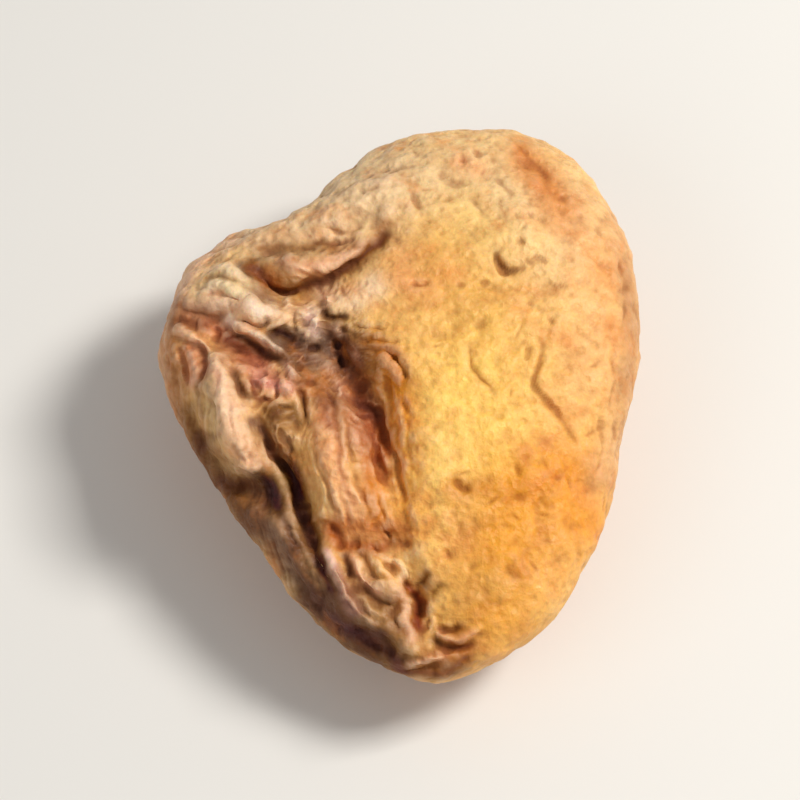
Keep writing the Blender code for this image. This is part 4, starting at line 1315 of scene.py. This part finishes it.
    def _paint(self, shape: SkinMesh) -> None:
        """Keeps the tints, which carry painted light and shade, the grooves, which the material darkens as
        painted shade, and the crests, which it lightens as painted highlights, as attributes of the mesh.

        Args:
            shape: the skin.
        """
        normals = shape.normals()
        facing = self._facing(normals)
        middling = self.middling.at(shape.points)
        under = self._under_colour(shape, middling)
        face = self._face_colour(shape)
        face += (shape.eased_over(face, self.blur_rounds) - face) * (1 - facing)[:, None]
        squarely = normals @ self.face.outward()
        shown = eased(squarely + self.shown_wander * middling, *self.shown_edge)[:, None]
        colour = under * (1 - shown) + face * shown
        shape.keep_colour("tint", np.maximum(colour - self.sheen, self.darkest))

        # groove: how hollow the skin is, which the material darkens as painted shade
        fine, wide = shape.hollowness(self.fine_rounds), shape.hollowness(self.wide_rounds)
        groove = sum(
            np.clip(hollow / depth, 0, 1) * share
            for hollow, depth, share in zip((fine, wide), self.groove_depths, self.groove_shares)
        )
        shape.keep_number("groove", np.clip(groove, 0, 1) * self.groove_most)
        # crest: how far the skin stands out, which the material lightens as painted highlight
        crest = np.clip(-fine / self.crest_height, 0, 1) ** self.crest_power
        crest *= eased(colour.mean(1), *self.crest_light_edge)
        restless = self._restless(self.face.places(shape.points), facing)
        shape.keep_number("crest", crest * (self.crest_share + self.crest_on_folds * restless))

    def _under_colour(self, shape: SkinMesh, middling: np.ndarray) -> np.ndarray:
        """Mixes the colour of the skin that the viewer doesn't see, from broad and middling patches.

        Args:
            shape: the skin.
            middling: noise that gives the middling patches.

        Returns:
            A linear colour for each point.
        """
        broad = self.broad.at(shape.points)
        tan, amber, brown = (linear(c) for c in self.under_tints)
        warm = eased(broad + self.warm_mix * middling, *self.warm_edge)[:, None]
        dark = self.dark_most * eased(middling - self.dark_mix * broad, *self.dark_edge)[:, None]
        return (tan * (1 - warm) + amber * warm) * (1 - dark) + brown * dark

    def _face_colour(self, shape: SkinMesh) -> np.ndarray:
        """Lays the tints over the face's base colour, in order.

        Args:
            shape: the skin.

        Returns:
            A linear colour for each point.
        """
        places = self.face.places(shape.points) + self._ragged(shape)
        face = np.tile(linear(self.face_base), (len(places), 1))
        for tint in TINTS:
            near, strength = stroke(places, tint.path, tint.width)
            share = (tint.strength * strength)[:, None]
            face[near] = face[near] * (1 - share) + linear(tint.colour) * share
        return face


@dataclass(frozen=True)
class FloorFinish:
    """The floor's plain pale paint."""

    colour: Colour = (232, 230, 226)
    roughness: float = 0.7

    def material(self) -> bpy.types.Material:
        """Builds the material.

        Returns:
            The finished material.
        """
        made = bpy.data.materials.new("pale_floor")
        made.use_nodes = True
        shader = made.node_tree.nodes["Principled BSDF"]
        shader.inputs["Base Color"].default_value = (*linear(self.colour), 1.0)
        shader.inputs["Roughness"].default_value = self.roughness
        return made


@dataclass(frozen=True)
class Lamp:
    """A soft square light. Place and size are in metres, power in watts, colour in linear light."""

    name: str
    place: Triple
    power: float
    size: float
    colour: Triple

    def hang(self, aim: Triple) -> None:
        """Hangs the light so that it faces a place.

        Args:
            aim: the place, in metres.
        """
        lamp = bpy.data.lights.new(self.name, "AREA")
        lamp.shape = "SQUARE"
        lamp.size = self.size
        lamp.energy = self.power
        lamp.color = self.colour
        holder = bpy.data.objects.new(self.name, lamp)
        holder.location = self.place
        holder.rotation_euler = (Vector(aim) - Vector(self.place)).to_track_quat("-Z", "Y").to_euler()
        bpy.context.scene.collection.objects.link(holder)


@dataclass
class Studio:
    """The pale floor, the soft lights and the camera."""

    floor_size: float = 12.0
    floor_finish: FloorFinish = FloorFinish()
    lamps: tuple[Lamp, ...] = (
        Lamp("key", (0.20, 0.03, 0.27), 0.98, 0.09, (1.0, 0.97, 0.92)),
        Lamp("fill", (-0.22, -0.20, 0.22), 0.21, 0.25, (0.92, 0.96, 1.0)),
    )
    aim: Triple = (0.0, 0.0, 0.008)
    room_colour: Triple = (1.0, 0.985, 0.96)
    room_light: float = 0.33
    lens: float = 180.0
    sensor: float = 36.0
    seen_share: float = 0.93
    fill_of_frame: float = 0.74
    nearest: float = 0.01

    def build(self) -> None:
        """Sets up everything around the fruit."""
        self._floor()
        for lamp in self.lamps:
            lamp.hang(self.aim)
        world = bpy.data.worlds.new("room")
        world.use_nodes = True
        room = world.node_tree.nodes["Background"]
        room.inputs["Color"].default_value = (*self.room_colour, 1.0)
        room.inputs["Strength"].default_value = self.room_light
        bpy.context.scene.world = world
        bpy.context.scene.view_settings.view_transform = "Standard"
        self._camera(FacePlane())

    def _floor(self) -> None:
        """Lays a plain pale floor."""
        ground = bmesh.new()
        bmesh.ops.create_grid(ground, x_segments=2, y_segments=2, size=self.floor_size / 2)
        mesh = bpy.data.meshes.new("floor")
        ground.to_mesh(mesh)
        ground.free()
        mesh.materials.append(self.floor_finish.material())
        floor = bpy.data.objects.new("floor", mesh)
        bpy.context.scene.collection.objects.link(floor)

    def _camera(self, face: FacePlane) -> None:
        """Sets the camera where the face plane is seen straight on.

        Args:
            face: the face plane.
        """
        low, high = CAD_BOX
        middle = (Vector(low) + Vector(high)) / 2
        tall = (high[1] - low[1]) * math.sin(face.elevation) + (high[2] - low[2]) * math.cos(face.elevation)
        data = bpy.data.cameras.new("camera")
        data.lens = self.lens
        data.sensor_width = self.sensor
        data.clip_start = self.nearest
        away = self.seen_share * tall / self.fill_of_frame * self.lens / self.sensor
        camera = bpy.data.objects.new("camera", data)
        camera.location = middle + Vector(face.outward()) * away
        camera.rotation_euler = Vector(-face.outward()).to_track_quat("-Z", "Y").to_euler()
        bpy.context.scene.collection.objects.link(camera)
        bpy.context.scene.camera = camera


def main() -> None:
    """Builds the fruit and the studio and reports each piece."""
    logging.basicConfig(level=logging.INFO, format="%(name)s: %(message)s")
    fruit = Apricot()
    skin = fruit.build()
    fruit.dress(skin)
    log.info("%s: %d points, %d faces", skin.name, len(skin.data.vertices), len(skin.data.polygons))
    Studio().build()
    log.info("studio built")
    log.info("sizes written")


if __name__ == "__main__":
    main()
